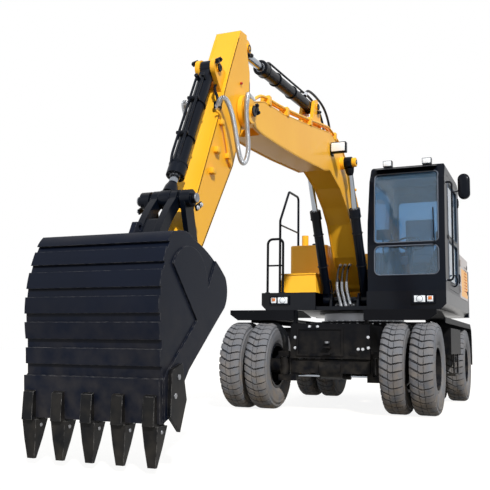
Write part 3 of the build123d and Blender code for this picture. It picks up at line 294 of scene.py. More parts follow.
@dataclass(frozen=True)
class Coat:
    """A painted, bare or moulded surface with patchy colour, dust on what faces up, and soft edges.

    Args:
        name: The material's name.
        colour: Its main colour as a screen code.
        shade: A second colour that comes in as large soft patches.
        rough: Roughness from 0 to 1.
        metal: Metallic from 0 to 1.
        gloss: Clear coat from 0 to 1.
        dust: How much dust lies on faces that look up.
        grime: How much dirt there is near the ground.
        edge: Radius of the rounded edges in the shading, in metres.
        grain: Strength of the fine bump.
        grain_scale: Scale of the fine bump per metre.
        wear: How much bright metal shows on edges.
        dust_colour: The colour of dust and dirt as a screen code.
        field: The lowest and highest x and z of a painted field, in the model's frame, or nothing.
        field_colour: The field's colour as a screen code.
        specular: Strength of the mirror-like part of a bare surface, from 0 to 1.
    """

    name: str
    colour: str
    shade: str
    rough: float = 0.45
    metal: float = 0.0
    gloss: float = 0.0
    dust: float = 0.15
    grime: float = 0.2
    edge: float = 0.006
    grain: float = 0.06
    grain_scale: float = 160.0
    wear: float = 0.0
    dust_colour: str = "a79a86"
    field: tuple[float, float, float, float] = ()
    field_colour: str = "f2a71d"
    specular: float = 0.5

    def material(self) -> bpy.types.Material:
        """Builds the node material, or finds it if it is there already.

        Returns:
            The material.
        """
        known = bpy.data.materials.get(self.name)
        if known:
            return known
        paint = bpy.data.materials.new(self.name)
        paint.use_nodes = True
        web = Web(paint)
        place = web.add("ShaderNodeTexCoord").outputs["Object"]
        patches = web.noise(place, 1.7, 4.0)
        speckle = web.noise(place, self.grain_scale, 3.0)
        colour = web.mix(web.span(patches, 0.35, 0.7), linear(self.colour), linear(self.shade))
        if self.field:
            colour = self.paint_field(web, place, colour)
        normal = web.add("ShaderNodeNewGeometry").outputs["Normal"]
        lying = web.multiply(
            web.span(web.split(normal, "Z"), 0.45, 0.95),
            web.span(web.noise(place, 6.0, 5.0), 0.3, 0.7),
        )
        low = web.multiply(
            web.span(web.split(place, "Z"), 1.1, 0.1),
            web.span(web.noise(place, 9.0, 6.0), 0.35, 0.7),
        )
        veil = web.most(web.multiply(lying, self.dust), web.multiply(low, self.grime))
        colour = web.mix(veil, colour, linear(self.dust_colour))
        soft = web.add("ShaderNodeBevel", samples=4)
        soft.inputs["Radius"].default_value = self.edge
        if self.wear:
            turn = web.add("ShaderNodeVectorMath", operation="DOT_PRODUCT")
            web.join(soft.outputs[0], turn.inputs[0])
            web.join(normal, turn.inputs[1])
            rub = web.multiply(
                web.span(turn.outputs["Value"], 0.985, 0.9),
                web.span(web.noise(place, 30.0, 4.0), 0.4, 0.6),
            )
            colour = web.mix(web.multiply(rub, self.wear), colour, linear(BARE_METAL))
        shader = web.shader
        web.join(colour, shader.inputs["Base Color"])
        rough = web.blend(speckle, self.rough - 0.05, self.rough + 0.07)
        web.join(web.blend(veil, rough, 0.9), shader.inputs["Roughness"])
        shader.inputs["Metallic"].default_value = self.metal
        shader.inputs["Specular IOR Level"].default_value = self.specular
        shader.inputs["Coat Weight"].default_value = self.gloss
        shader.inputs["Coat Roughness"].default_value = 0.12
        bump = web.add("ShaderNodeBump")
        bump.inputs["Strength"].default_value = self.grain
        bump.inputs["Distance"].default_value = 0.002
        web.join(speckle, bump.inputs["Height"])
        web.join(soft.outputs[0], bump.inputs["Normal"])
        web.join(bump.outputs[0], shader.inputs["Normal"])
        return paint

    def paint_field(self, web: Web, place: object, colour: object) -> bpy.types.NodeSocket:
        """Lays the painted field over the colour.

        Args:
            web: The material's nodes.
            place: The object coordinates.
            colour: The colour below the field.

        Returns:
            The colour with the field.
        """
        x_low, x_high, z_low, z_high = self.field
        soft = 0.002
        x, z = web.split(place, "X"), web.split(place, "Z")
        inside = web.multiply(
            web.multiply(web.span(x, x_low, x_low + soft), web.span(x, x_high, x_high - soft)),
            web.multiply(web.span(z, z_low, z_low + soft), web.span(z, z_high, z_high - soft)),
        )
        return web.mix(inside, colour, linear(self.field_colour))


@dataclass(frozen=True)
class Pane:
    """Tinted window glass, its tint holding a painted reflection of the sky, with a thin film of dust.

    Args:
        name: The material's name.
        tint: The glass's colour as a screen code: its own tint together with a painted reflection of the sky.
        clear: How much of it is see-through, from 0 to 1.
    """

    name: str
    tint: str
    clear: float = 0.8

    def material(self) -> bpy.types.Material:
        """Builds the node material, or finds it if it is there already.

        Returns:
            The material.
        """
        known = bpy.data.materials.get(self.name)
        if known:
            return known
        glass = bpy.data.materials.new(self.name)
        glass.use_nodes = True
        web = Web(glass)
        place = web.add("ShaderNodeTexCoord").outputs["Object"]
        film = web.span(web.noise(place, 3.0, 5.0), 0.4, 0.8)
        tint = web.mix(web.multiply(film, 0.25), linear(self.tint), linear(FILM))
        web.join(tint, web.shader.inputs["Base Color"])
        web.join(web.blend(film, 0.02, 0.09), web.shader.inputs["Roughness"])
        web.shader.inputs["IOR"].default_value = 1.45
        web.shader.inputs["Transmission Weight"].default_value = self.clear
        web.shader.inputs["Specular IOR Level"].default_value = 0.6
        return glass


Finish = Coat | Pane

YELLOW = Coat(
    "warm yellow paint", "ffbb28", "fab224", rough=0.4, gloss=0.06, dust=0.08, grime=0.25, wear=0.08, specular=0.3
)
PANEL = Coat(
    "grey side panel with a yellow field", "b8aea9", "afa6a1", rough=0.4, gloss=0.15, dust=0.1,
    field=(SLEW.x - 1.68, SLEW.x - 0.88, 1.53, 1.94),
)
# near-black paint whose navy tint is a painted reflection of the sky in the gloss
BLACK = Coat(
    "black gloss paint with painted sky reflection", "070b14", "0a101a", rough=0.34, gloss=0.12, dust=0.05, grime=0.16, wear=0.08, specular=0.06
)
# near-black bucket paint whose navy tint is a painted reflection of the sky
BUCKET_BLACK = Coat(
    "bucket paint with painted sky reflection", "070d1a", "0a1120", rough=0.42, dust=0.04, grime=0.08, wear=0.3, grain=0.1, specular=0.1
)
CHASSIS_BLACK = Coat(
    "chassis paint", "07080c", "0c0d11", rough=0.5, dust=0.08, grime=0.1, grain=0.12, specular=0.08
)
# near-black gloss paint whose blue tint is a painted reflection of the sky
SKIRT_BLACK = Coat(
    "black platform paint with painted sky reflection", "080b12", "0c1018", rough=0.3, gloss=0.2, dust=0.08, grime=0.12, specular=0.06
)
CHROME = Coat(
    "hard chrome", "9da3ab", "8f959d", rough=0.14, metal=1.0, dust=0.03, grime=0.05, edge=0.003, grain=0.01
)
STEEL = Coat("bare steel", "8f9196", "7b7d82", rough=0.36, metal=0.85, dust=0.12, edge=0.003)
ZINC = Coat("bright bolt zinc", "d3d5d8", "c2c4c8", rough=0.4, metal=0.5, dust=0.1, grime=0.3, edge=0.002)
TOOTH_BLACK = Coat(
    "tooth paint", "06080c", "0a0c11", rough=0.42, dust=0.04, grime=0.06, wear=0.6, grain=0.12, specular=0.12
)
CAST_GREY = Coat("engine casting", "2f3134", "26282b", rough=0.6, metal=0.3, dust=0.3)
RUBBER = Coat(
    "tyre rubber", "717275", "626367", rough=0.85, dust=0.25, grime=0.7, edge=0.004, grain=0.35,
    dust_colour="8f7f6b", specular=0.3,
)
PLASTIC = Coat("cab plastic", "2b3038", "343a43", rough=0.55, dust=0.12, grain=0.2, grain_scale=420.0)
CLOTH = Coat("seat cloth", "959ba4", "858b95", rough=0.95, dust=0.0, grime=0.0, grain=0.5, grain_scale=520.0)
LENS = Coat("lamp lens", "f2f4f4", "e6e9ea", rough=0.12, gloss=0.8, dust=0.03, grime=0.0, grain=0.0, edge=0.002)
AMBER = Coat("amber lens", "e27a1c", "d56e14", rough=0.18, gloss=0.8, dust=0.05, grime=0.0, grain=0.0, edge=0.002)
SEAL = Coat("window seal", "59606b", "4f5661", rough=0.6, dust=0.1, grain=0.2)
RED_CAP = Coat("red plastic", "b3261c", "a02118", rough=0.4, dust=0.1)
HOSE_BLACK = Coat(
    "hose rubber", "0e0f12", "16171b", rough=0.5, dust=0.1, grime=0.2, grain=0.2, grain_scale=300.0, specular=0.3
)
GUARD_SILVER = Coat("hose guard", "c9ccd0", "b5b8bd", rough=0.34, metal=0.7, dust=0.05, edge=0.002)
# the pale blue tint stands in for the sky seen in the glass: painted reflection
GLASS = Pane("cab glass with painted sky reflection", "8fb4d2", clear=0.88)

NODE_COATS: dict[str, Finish] = {
    **{name: CHASSIS_BLACK for name in ("chassis_frame", "mudguards", "side_boxes", "front_axle", "rear_axle")},
    **{name: CHASSIS_BLACK for name in ("drive_shafts", "knuckle_left", "knuckle_right")},
    **{name: BLACK for name in ("counterweight", "handrails", "cab_shell", "cab_door", "cab_rail_mirror")},
    **{name: BLACK for name in ("boom_cylinder_left", "boom_cylinder_right", "rocker", "bucket_link")},
    **{name: BLACK for name in ("arm_cylinder", "bucket_cylinder", "lamps")},
    **{name: CHROME for name in ("steering_rod", "boom_rod_left", "boom_rod_right", "arm_rod", "bucket_rod")},
    **{f"tyres_{end}_{hand}": RUBBER for end in ("front", "rear") for hand in ("left", "right")},
    **{f"rims_{end}_{hand}": BLACK for end in ("front", "rear") for hand in ("left", "right")},
    **{name: YELLOW for name in ("engine_hood", "fuel_tank", "tool_box", "tool_box_lid", "boom", "arm")},
    **{name: PANEL for name in ("side_door_left", "side_door_right")},
    **{name: GLASS for name in ("cab_glass", "cab_door_glass")},
    **{name: PLASTIC for name in ("cab_console", "steering_wheel")},
    "engine_housing": YELLOW,
    "bucket": BUCKET_BLACK,
    "bucket_teeth": TOOTH_BLACK,
    "engine_block": CAST_GREY,
    "seat": CLOTH,
    "slew_ring": STEEL,
    "upper_frame": SKIRT_BLACK,
}


def dress_nodes() -> None:
    """Gives every CAD node its finish."""
    for name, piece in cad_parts.items():
        coat = NODE_COATS[name].material()
        for slot in piece.material_slots:
            slot.material = coat
    LOG.info("finishes on %d nodes", len(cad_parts))


# ---------------------------------------------------------------- making shapes


def show(name: str, mesh: bpy.types.Mesh) -> bpy.types.Object:
    """Puts a mesh in the scene.

    Args:
        name: The object's name.
        mesh: Its mesh.

    Returns:
        The object.
    """
    piece = bpy.data.objects.new(name, mesh)
    bpy.context.scene.collection.objects.link(piece)
    return piece


def evaluated(piece: bpy.types.Object) -> bpy.types.Mesh:
    """Reads an object after its modifiers.

    Args:
        piece: A mesh or a curve.

    Returns:
        A plain mesh.
    """
    graph = bpy.context.evaluated_depsgraph_get()
    return bpy.data.meshes.new_from_object(piece.evaluated_get(graph), depsgraph=graph)


def follow(points: Sequence[Place]) -> list[Vector]:
    """Reads the line of a smooth curve.

    Args:
        points: The control points of a NURBS spline that starts and ends on them.

    Returns:
        Points along the spline, as Blender gives them for a curve with no bevel.
    """
    curve = bpy.data.curves.new("route", "CURVE")
    curve.dimensions = "3D"
    curve.resolution_u = 8
    spline = curve.splines.new("NURBS")
    spline.points.add(len(points) - 1)
    for knot, place in zip(spline.points, points):
        knot.co = (*place, 1.0)
    spline.order_u = 3
    spline.use_endpoint_u = True
    holder = bpy.data.objects.new("route", curve)
    bpy.context.scene.collection.objects.link(holder)
    line = evaluated(holder)
    path = [vertex.co.copy() for vertex in line.vertices]
    bpy.data.objects.remove(holder)
    bpy.data.meshes.remove(line)
    bpy.data.curves.remove(curve)
    return path


def circles(line: Sequence[Vector], radius: float, sides: int, looped: bool = False) -> list[list[Vector]]:
    """Circles square to a line.

    Args:
        line: The points that the circles stand on.
        radius: Their radius.
        sides: Points in each circle.
        looped: Whether the line's end joins its start.

    Returns:
        One ring of points for each point of the line.
    """
    count = len(line)
    turns = angles(sides)
    rings = []
    across = (line[1] - line[0]).orthogonal().normalized()
    for index, point in enumerate(line):
        before = line[(index - 1) % count] if looped else line[max(index - 1, 0)]
        after = line[(index + 1) % count] if looped else line[min(index + 1, count - 1)]
        ahead = (after - before).normalized()
        across = (across - ahead * across.dot(ahead)).normalized()
        rise = ahead.cross(across)
        rings.append([point + radius * (cos(a) * across + sin(a) * rise) for a in turns])
    return rings


class Stock:
    """One piece in the making: closed shapes gathered in one mesh, each with its finish."""

    def __init__(self, name: str, finish: Finish) -> None:
        """Starts an empty piece.

        Args:
            name: The piece's name.
            finish: The finish of the first shapes.
        """
        self.name = name
        self.mesh = bmesh.new()
        self.finishes: list[Finish] = []
        self.current = 0
        self.use(finish)

    def use(self, finish: Finish) -> "Stock":
        """Makes the shapes that follow in another finish.

        Args:
            finish: The finish.

        Returns:
            The piece itself.
        """
        if finish not in self.finishes:
            self.finishes.append(finish)
        self.current = self.finishes.index(finish)
        return self

    def absorb(self, shape: bmesh.types.BMesh, shift: Place = (0.0, 0.0, 0.0)) -> None:
        """Takes a loose shape in.

        Args:
            shape: The shape, which is used up.
            shift: How far it is moved.
        """
        shape.verts.index_update()
        places = [self.mesh.verts.new(vertex.co + Vector(shift)) for vertex in shape.verts]
        for face in shape.faces:
            self.mesh.faces.new([places[v.index] for v in face.verts]).material_index = self.current
        shape.free()

    def take(self, mesh: bpy.types.Mesh, shift: Place = (0.0, 0.0, 0.0)) -> None:
        """Takes a plain mesh in.

        Args:
            mesh: The mesh.
            shift: How far it is moved.
        """
        shape = bmesh.new()
        shape.from_mesh(mesh)
        self.absorb(shape, shift)

    def skin(self, rings: Sequence[Sequence[Place]], looped: bool = False, bevel: float = 0.0) -> None:
        """Joins rings of equal count into a closed shape.

        Args:
            rings: Closed rings of points.
            looped: Whether the last ring joins the first; otherwise both ends are capped.
            bevel: How much the edges are rounded off.
        """
        shape = bmesh.new()
        rows = [[shape.verts.new(point) for point in ring] for ring in rings]
        pairs = list(zip(rows, rows[1:]))
        if looped:
            pairs.append((rows[-1], rows[0]))
        else:
            shape.faces.new(rows[0][::-1])
            shape.faces.new(rows[-1])
        for low, high in pairs:
            for index, corner in enumerate(low):
                beside = (index + 1) % len(low)
                shape.faces.new((corner, low[beside], high[beside], high[index]))
        if bevel:
            self.soften(shape, bevel)
        self.absorb(shape)

    @staticmethod
    def soften(shape: bmesh.types.BMesh, bevel: float) -> None:
        """Rounds off a shape's edges."""
        bmesh.ops.bevel(shape, geom=shape.edges[:], offset=bevel, segments=2, profile=0.5, affect="EDGES")

    def block(self, low: Place, high: Place, bevel: float = 0.004) -> None:
        """A box between two corners, with its edges rounded off by `bevel`."""
        outline = [(low[0], low[1]), (high[0], low[1]), (high[0], high[1]), (low[0], high[1])]
        self.prism(outline, low[2], high[2], Axis.Z, bevel)

    def prism(
        self, outline: Sequence[tuple[float, float]], start: float, end: float, axis: Axis, bevel: float = 0.0
    ) -> None:
        """A profile swept straight.

        Args:
            outline: The profile's corners in the axis's two directions.
            start: Where it starts along the axis.
            end: Where it ends.
            axis: The direction of the sweep.
            bevel: How much the edges are rounded off.
        """
        self.skin([[axis.place(*corner, depth) for corner in outline] for depth in (start, end)], bevel=bevel)

    def lathe(
        self,
        profile: Sequence[tuple[float, float]],
        origin: Place,
        direction: Place,
        sides: int = 24,
        closed: bool = False,
    ) -> None:
        """A turned shape.

        Args:
            profile: Distances along the axis, each with a radius.
            origin: The axis's start.
            direction: The axis's direction.
            sides: Steps around.
            closed: Whether the profile is a closed loop, and so needs no end faces.
        """
        turn = Vector(direction).to_track_quat("Z", "Y")
        rings = [
            [Vector(origin) + turn @ Vector((radius * cos(a), radius * sin(a), along)) for a in angles(sides)]
            for along, radius in profile
        ]
        self.skin(rings, looped=closed)

    def rod(self, start: Place, end: Place, radius: float, sides: int = 20, bevel: float = 0.003) -> None:
        """A round bar with broken edges.

        Args:
            start: The middle of its first end.
            end: The middle of its other end.
            radius: Its radius.
            sides: Steps around.
            bevel: How much its edges are broken.
        """
        way = Vector(end) - Vector(start)
        profile = [(0, radius - bevel), (bevel, radius), (way.length - bevel, radius), (way.length, radius - bevel)]
        self.lathe(profile, start, way, sides)

    def pipe(self, points: Sequence[Place], radius: float, sides: int = 10) -> None:
        """A round pipe along a smooth curve with these control points."""
        self.skin(circles(follow(points), radius, sides))

    def bead(self, line: Sequence[Place], radius: float, sides: int = 8) -> None:
        """A round bead along a closed line."""
        self.skin(circles([Vector(point) for point in line], radius, sides, looped=True), looped=True)

    def band(self, middle: Vector, out: Vector, radius: float, wire: float = 0.006) -> None:
        """A clamp band around a cylinder.

        Args:
            middle: The band's middle, on the cylinder's axis.
            out: A direction square to the axis and to the machine's width.
            radius: The band's radius.
            wire: The radius of its section.
        """
        self.bead([middle + radius * (cos(a) * out + sin(a) * ACROSS) for a in angles(28)], wire, 6)

    def strip(
        self, line: Sequence[tuple[float, float]], y_span: tuple[float, float], inward: float, proud: float
    ) -> None:
        """A flat bar along a line in side view.

        Args:
            line: The bar's line as x and z.
            y_span: Its sides.
            inward: How far it reaches to the line's left.
            proud: How far it stands out to the line's right.
        """
        points = [Vector(point) for point in line]
        rings = []
        for index, point in enumerate(points):
            ways = [
                (b - a).normalized()
                for a, b in zip(points, points[1:])
                if (a - point).length < 1e-9 or (b - point).length < 1e-9
            ]
            way = sum(ways, Vector((0.0, 0.0))).normalized()
            outward = Vector((way.y, -way.x))
            inner, outer = point - outward * inward, point + outward * proud
            near, far = y_span
            corners = ((inner, near), (outer, near), (outer, far), (inner, far))
            rings.append([(spot.x, y, spot.y) for spot, y in corners])
        self.skin(rings)

    def finished(self) -> bpy.types.Mesh:
        """Closes the piece.

        Returns:
            The gathered shapes as a mesh with its finishes, faces outwards.
        """
        bmesh.ops.recalc_face_normals(self.mesh, faces=self.mesh.faces)
        data = bpy.data.meshes.new(self.name)
        self.mesh.to_mesh(data)
        self.mesh.free()
        for finish in self.finishes:
            data.materials.append(finish.material())
        data.shade_smooth()
        data.set_sharp_from_angle(angle=radians(35))
        return data

    def ship(self, body: str, replaces: Sequence[str] = ()) -> bpy.types.Object:
        """Finishes the piece and lets it ride.

        Args:
            body: The body that it rides on.
            replaces: The CAD nodes that it stands for.

        Returns:
            The piece.
        """
        return deliver(self.name, self.finished(), body, replaces)


def deliver(
    name: str, mesh: bpy.types.Mesh, body: str, replaces: Sequence[str] = ()
) -> bpy.types.Object:
    """Moves a mesh into the model's frame and lets it ride.

    Args:
        name: The piece's name.
        mesh: Its mesh, with places from the slewing axis.
        body: The body that it rides on.
        replaces: The CAD nodes that it stands for.

    Returns:
        The piece.
    """
    mesh.transform(Matrix.Translation(SLEW))
    piece = show(name, mesh)
    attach(piece, body)
    if replaces:
        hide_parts(*replaces)
    LOG.info("%s on %s, %d faces", name, body, len(mesh.polygons))
    return piece


class Recipe:
    """A Geometry Nodes tree with named inputs that turns one mesh into another."""

    KINDS = {float: "NodeSocketFloat", int: "NodeSocketInt", bpy.types.Material: "NodeSocketMaterial"}

    def __init__(self, name: str, **inputs: type) -> None:
        """Starts the tree.

        Args:
            name: The tree's name.
            inputs: The type of each named input.
        """
        self.group = bpy.data.node_groups.new(name, "GeometryNodeTree")
        sockets = self.group.interface
        sockets.new_socket("Geometry", in_out="INPUT", socket_type="NodeSocketGeometry")
        sockets.new_socket("Geometry", in_out="OUTPUT", socket_type="NodeSocketGeometry")
        self.keys = {}
        for key, kind in inputs.items():
            socket = sockets.new_socket(key, in_out="INPUT", socket_type=self.KINDS[kind])
            self.keys[key] = socket.identifier
        self.given = self.group.nodes.new("NodeGroupInput").outputs
        self.result = self.group.nodes.new("NodeGroupOutput").inputs[0]

    def add(self, kind: str, sources: dict[str | int, object] | None = None, **settings: object) -> bpy.types.Node:
        """Adds a node.

        Args:
            kind: The node's type.
            sources: A socket or value for each named or numbered input.
            settings: The node's own settings.

        Returns:
            The node.
        """
        node = self.group.nodes.new(kind)
        for key, value in settings.items():
            setattr(node, key, value)
        for key, source in (sources or {}).items():
            if isinstance(source, bpy.types.NodeSocket):
                self.group.links.new(source, node.inputs[key])
            else:
                node.inputs[key].default_value = source
        return node

    def close(self, instances: bpy.types.NodeSocket) -> "Recipe":
        """Ends the tree in Realize Instances and Set Material.

        Args:
            instances: The instances that the tree has made.

        Returns:
            The recipe itself.
        """
        real = self.add("GeometryNodeRealizeInstances", {"Geometry": instances})
        dressed = self.add(
            "GeometryNodeSetMaterial", {"Geometry": real.outputs[0], "Material": self.given["finish"]}
        )
        self.group.links.new(dressed.outputs[0], self.result)
        return self

    def run(self, mesh: bpy.types.Mesh, **values: object) -> bpy.types.Mesh:
        """Runs the tree on a mesh.

        Args:
            mesh: The mesh that goes in.
            values: The named inputs.

        Returns:
            A plain mesh.
        """
        holder = show("holder", mesh)
        modifier = holder.modifiers.new("recipe", "NODES")
        modifier.node_group = self.group
        for key, value in values.items():
            modifier[self.keys[key]] = value
        made = evaluated(holder)
        holder.modifiers.remove(modifier)
        bpy.data.objects.remove(holder)
        return made


def bolt_recipe() -> Recipe:
    """Hexagon heads with washers on points that have a facing and a size.

    Returns:
        The recipe.
    """
    tree = Recipe("bolts", head=float, washer=float, finish=bpy.types.Material)
    rise = tree.add("ShaderNodeCombineXYZ", {"Z": 0.5})
    head = tree.add(
        "GeometryNodeMeshCylinder", {"Vertices": 6, "Radius": tree.given["head"], "Depth": 0.8}
    )
    lifted = tree.add(
        "GeometryNodeTransform", {"Geometry": head.outputs[0], "Translation": rise.outputs[0]}
    )
    disc = tree.add(
        "GeometryNodeMeshCylinder", {"Vertices": 14, "Radius": tree.given["washer"], "Depth": 0.25}
    )
    whole = tree.add("GeometryNodeJoinGeometry")
    for piece in (disc, lifted):
        tree.group.links.new(piece.outputs[0], whole.inputs[0])
    facing = tree.add("GeometryNodeInputNamedAttribute", {"Name": "facing"}, data_type="FLOAT_VECTOR")
    size = tree.add("GeometryNodeInputNamedAttribute", {"Name": "size"}, data_type="FLOAT")
    turn = tree.add("FunctionNodeAlignRotationToVector", {"Vector": facing.outputs[0]}, axis="Z")
    placed = tree.add(
        "GeometryNodeInstanceOnPoints",
        {
            "Points": tree.given["Geometry"],
            "Instance": whole.outputs[0],
            "Rotation": turn.outputs[0],
            "Scale": size.outputs[0],
        },
    )
    return tree.close(placed.outputs[0])


def ring_recipe() -> Recipe:
    """One shape repeated around the Y axis.

    Returns:
        The recipe.
    """
    tree = Recipe("ring", count=int, finish=bpy.types.Material)
    points = tree.add("GeometryNodeMeshLine", {"Count": tree.given["count"], "Offset": (0.0, 0.0, 0.0)})
    index = tree.add("GeometryNodeInputIndex")
    share = tree.add(
        "ShaderNodeMath", {0: index.outputs[0], 1: tree.given["count"]}, operation="DIVIDE"
    )
    angle = tree.add("ShaderNodeMath", {0: share.outputs[0], 1: tau}, operation="MULTIPLY")
    turn = tree.add("ShaderNodeCombineXYZ", {"Y": angle.outputs[0]})
    placed = tree.add(
        "GeometryNodeInstanceOnPoints",
        {"Points": points.outputs[0], "Instance": tree.given["Geometry"], "Rotation": turn.outputs[0]},
    )
    return tree.close(placed.outputs[0])


def guard_recipe() -> Recipe:
    """Rings side by side along a line of points, as the coil guard of a hose.

    Returns:
        The recipe.
    """
    tree = Recipe("hose guard", radius=float, wire=float, pitch=float, finish=bpy.types.Material)
    line = tree.add("GeometryNodeMeshToCurve", {"Mesh": tree.given["Geometry"]})
    dots = tree.add(
        "GeometryNodeCurveToPoints", {"Curve": line.outputs[0], "Length": tree.given["pitch"]}, mode="LENGTH"
    )
    loop = tree.add("GeometryNodeCurvePrimitiveCircle", {"Resolution": 12, "Radius": tree.given["radius"]})
    wire = tree.add("GeometryNodeCurvePrimitiveCircle", {"Resolution": 5, "Radius": tree.given["wire"]})
    ring = tree.add(
        "GeometryNodeCurveToMesh", {"Curve": loop.outputs[0], "Profile Curve": wire.outputs[0]}
    )
    placed = tree.add(
        "GeometryNodeInstanceOnPoints",
        {
            "Points": dots.outputs["Points"],
            "Instance": ring.outputs[0],
            "Rotation": dots.outputs["Rotation"],
        },
    )
    return tree.close(placed.outputs[0])


class Fasteners:
    """Bolts gathered for each body and finish, and made by one tree."""

    def __init__(self) -> None:
        """Starts with no bolt."""
        self.places: dict[tuple[str, Finish], list[tuple[Vector, Vector, float]]] = {}

    def put(self, body: str, place: Place, facing: Place, size: float, finish: Finish = ZINC) -> None:
        """Puts a bolt on a body.

        Args:
            body: The body that it rides on.
            place: The middle of its washer's foot.
            facing: The direction of its head.
            size: The head's radius.
            finish: Its finish.
        """
        row = self.places.setdefault((body, finish), [])
        row.append((Vector(place), Vector(facing).normalized(), size))

    def ring(
        self,
        body: str,
        middle: Place,
        facing: Place,
        radius: float,
        count: int,
        size: float,
        finish: Finish = ZINC,
    ) -> None:
        """Puts bolts in a circle around an axis.

        Args:
            body: The body that they ride on.
            middle: The circle's middle.
            facing: The direction of their heads.
            radius: The circle's radius.
            count: How many there are.
            size: A head's radius.
            finish: Their finish.
        """
        turn = Vector(facing).to_track_quat("Z", "Y")
        for step in range(count):
            angle = tau * (step + 0.5) / count
            away = turn @ Vector((radius * cos(angle), radius * sin(angle), 0))
            self.put(body, Vector(middle) + away, facing, size, finish)

    def build(self) -> None:
        """Makes one piece for each body and finish."""
        tree = bolt_recipe()
        for number, ((body, finish), row) in enumerate(self.places.items()):
            points = bpy.data.meshes.new("bolt places")
            points.from_pydata([place for place, _, _ in row], [], [])
            facing = points.attributes.new("facing", "FLOAT_VECTOR", "POINT")
            facing.data.foreach_set("vector", [part for _, way, _ in row for part in way])
            size = points.attributes.new("size", "FLOAT", "POINT")
            size.data.foreach_set("value", [value for _, _, value in row])
            made = tree.run(points, head=1.0, washer=1.3, finish=finish.material())
            deliver(f"bolts_{body}_{number}", made, body)


BOLTS = Fasteners()


# ---------------------------------------------------------------- hoses


@dataclass
class Hose:
    """A hose that crosses a joint or lies free between two fittings.

    Args:
        name: The piece's name.
        route: The control points of its line.
        diameter: Its outer diameter.
        bodies: The bodies at its two ends; not used.
        turn: Where the crossing starts and ends, as two places; not used.
        guard: Whether a coil guard lies around it.
        guard_top: The height up to which the guard reaches.
        fitting: How much of its length is in each fitting.
    """

    name: str
    route: Sequence[Place]
    diameter: float
    bodies: tuple[str, str]
    turn: tuple[Place, Place]
    guard: bool = False
    guard_top: float = 9.0
    fitting: float = 0.05

    def build(self) -> None:
        line = follow(self.route)
        tube = Stock(self.name, HOSE_BLACK)
        tube.skin(circles(line, self.diameter / 2, 12))
        pieces = [show(self.name, tube.finished())]
        fittings = Stock(self.name + "_fittings", ZINC)
        for end, inner in ((line[0], line[3]), (line[-1], line[-4])):
            way = (inner - end).normalized()
            fittings.rod(end - way * 0.012, end + way * self.fitting, self.diameter * 0.62, 12, 0.002)
            fittings.rod(end - way * 0.014, end + way * 0.016, self.diameter * 0.85, 6, 0.002)
        pieces.append(show(self.name + "_fittings", fittings.finished()))
        if self.guard:
            spine = bpy.data.meshes.new("spine")
            kept = [point for point in line if point.z < self.guard_top]
            spine.from_pydata(kept, [(i, i + 1) for i in range(len(kept) - 1)], [])
            rings = guard_recipe().run(
                spine,
                radius=self.diameter * 0.60,
                wire=self.diameter * 0.11,
                pitch=self.diameter * 0.27,
                finish=GUARD_SILVER.material(),
            )
            rings.shade_smooth()
            pieces.append(show(self.name + "_guard", rings))
        for piece in pieces:
            piece.data.transform(Matrix.Translation(SLEW))
            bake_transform(piece)


def hoses() -> list[Hose]:
    """Every hose, with its route from the slewing axis.

    Returns:
        The arm's, the arm cylinder's, the lift cylinders' and the bay's hoses.
    """
    made = []
    loop = (
        (4.325, 0.030, 2.985), (4.42, 0.035, 2.985), (4.52, 0.060, 2.975), (4.61, 0.095, 2.91), (4.65, 0.100, 2.80),
        (4.60, 0.092, 2.62), (4.55, 0.088, 2.46), (4.60, 0.086, 2.33), (4.70, 0.086, 2.29), (4.79, 0.088, 2.40),
        (4.86, 0.092, 2.55), (4.95, 0.092, 2.69), (5.03, 0.075, 2.775), (5.050, 0.035, 2.765), (4.990, -0.015, 2.715),
    )
    for hand, mirror in (("left", False), ("right", True)):
        route = [(x, 2 * BOOM_Y - y if mirror else y, z) for x, y, z in loop]
        middle = route[6][1]
        turn = ((4.42, middle, 2.95), (5.00, middle, 2.75))
        made.append(Hose(f"arm_hose_{hand}", route, 0.031, ("boom", "arm"), turn, guard=True))
    for number, y in enumerate((-0.08, -0.16)):
        route = [
            (2.46, y, 3.650), (2.41, y, 3.73), (2.22, y, 3.765), (1.92, y, 3.765), (1.68, y, 3.73), (1.50, y, 3.62),
            (1.42, y, 3.48), (1.40, y, 3.305),
        ]
        turn = ((1.75, y, 3.6), (2.40, y, 3.7))
        made.append(Hose(f"cylinder_hose_{number + 1}", route, 0.03, ("boom", "arm_cylinder"), turn))
    for hand, y in (("left", BOOM_Y + LIFT_SPREAD), ("right", BOOM_Y - LIFT_SPREAD)):
        route = [
            (0.28, y, 1.318), (0.28, y, 1.42), (0.29, y, 1.55), (0.33, y, 1.65), (0.40, y, 1.69), (0.46, y, 1.66),
            (0.500, y, 1.590),
        ]
        turn = ((0.29, y, 1.60), (0.50, y, 1.60))
        made.append(Hose(f"lift_hose_{hand}", route, 0.026, ("upper", f"boom_cylinder_{hand}"), turn))
    for number, y in enumerate((-0.20, -0.135, -0.07)):
        route = [
            (0.60, y + 0.03, 1.318), (0.655, y + 0.02, 1.42), (0.690, y, 1.54), (0.680, y, 1.68), (0.62, y, 1.80),
            (0.55, y, 1.86), (0.50, y, 1.878),
        ]
        turn = ((0.64, y, 1.40), (0.55, y, 1.86))
        made.append(Hose(f"bay_hose_{number + 1}", route, 0.028, ("upper", "boom"), turn, guard=True, guard_top=1.63))
    return made


# ---------------------------------------------------------------- wheels


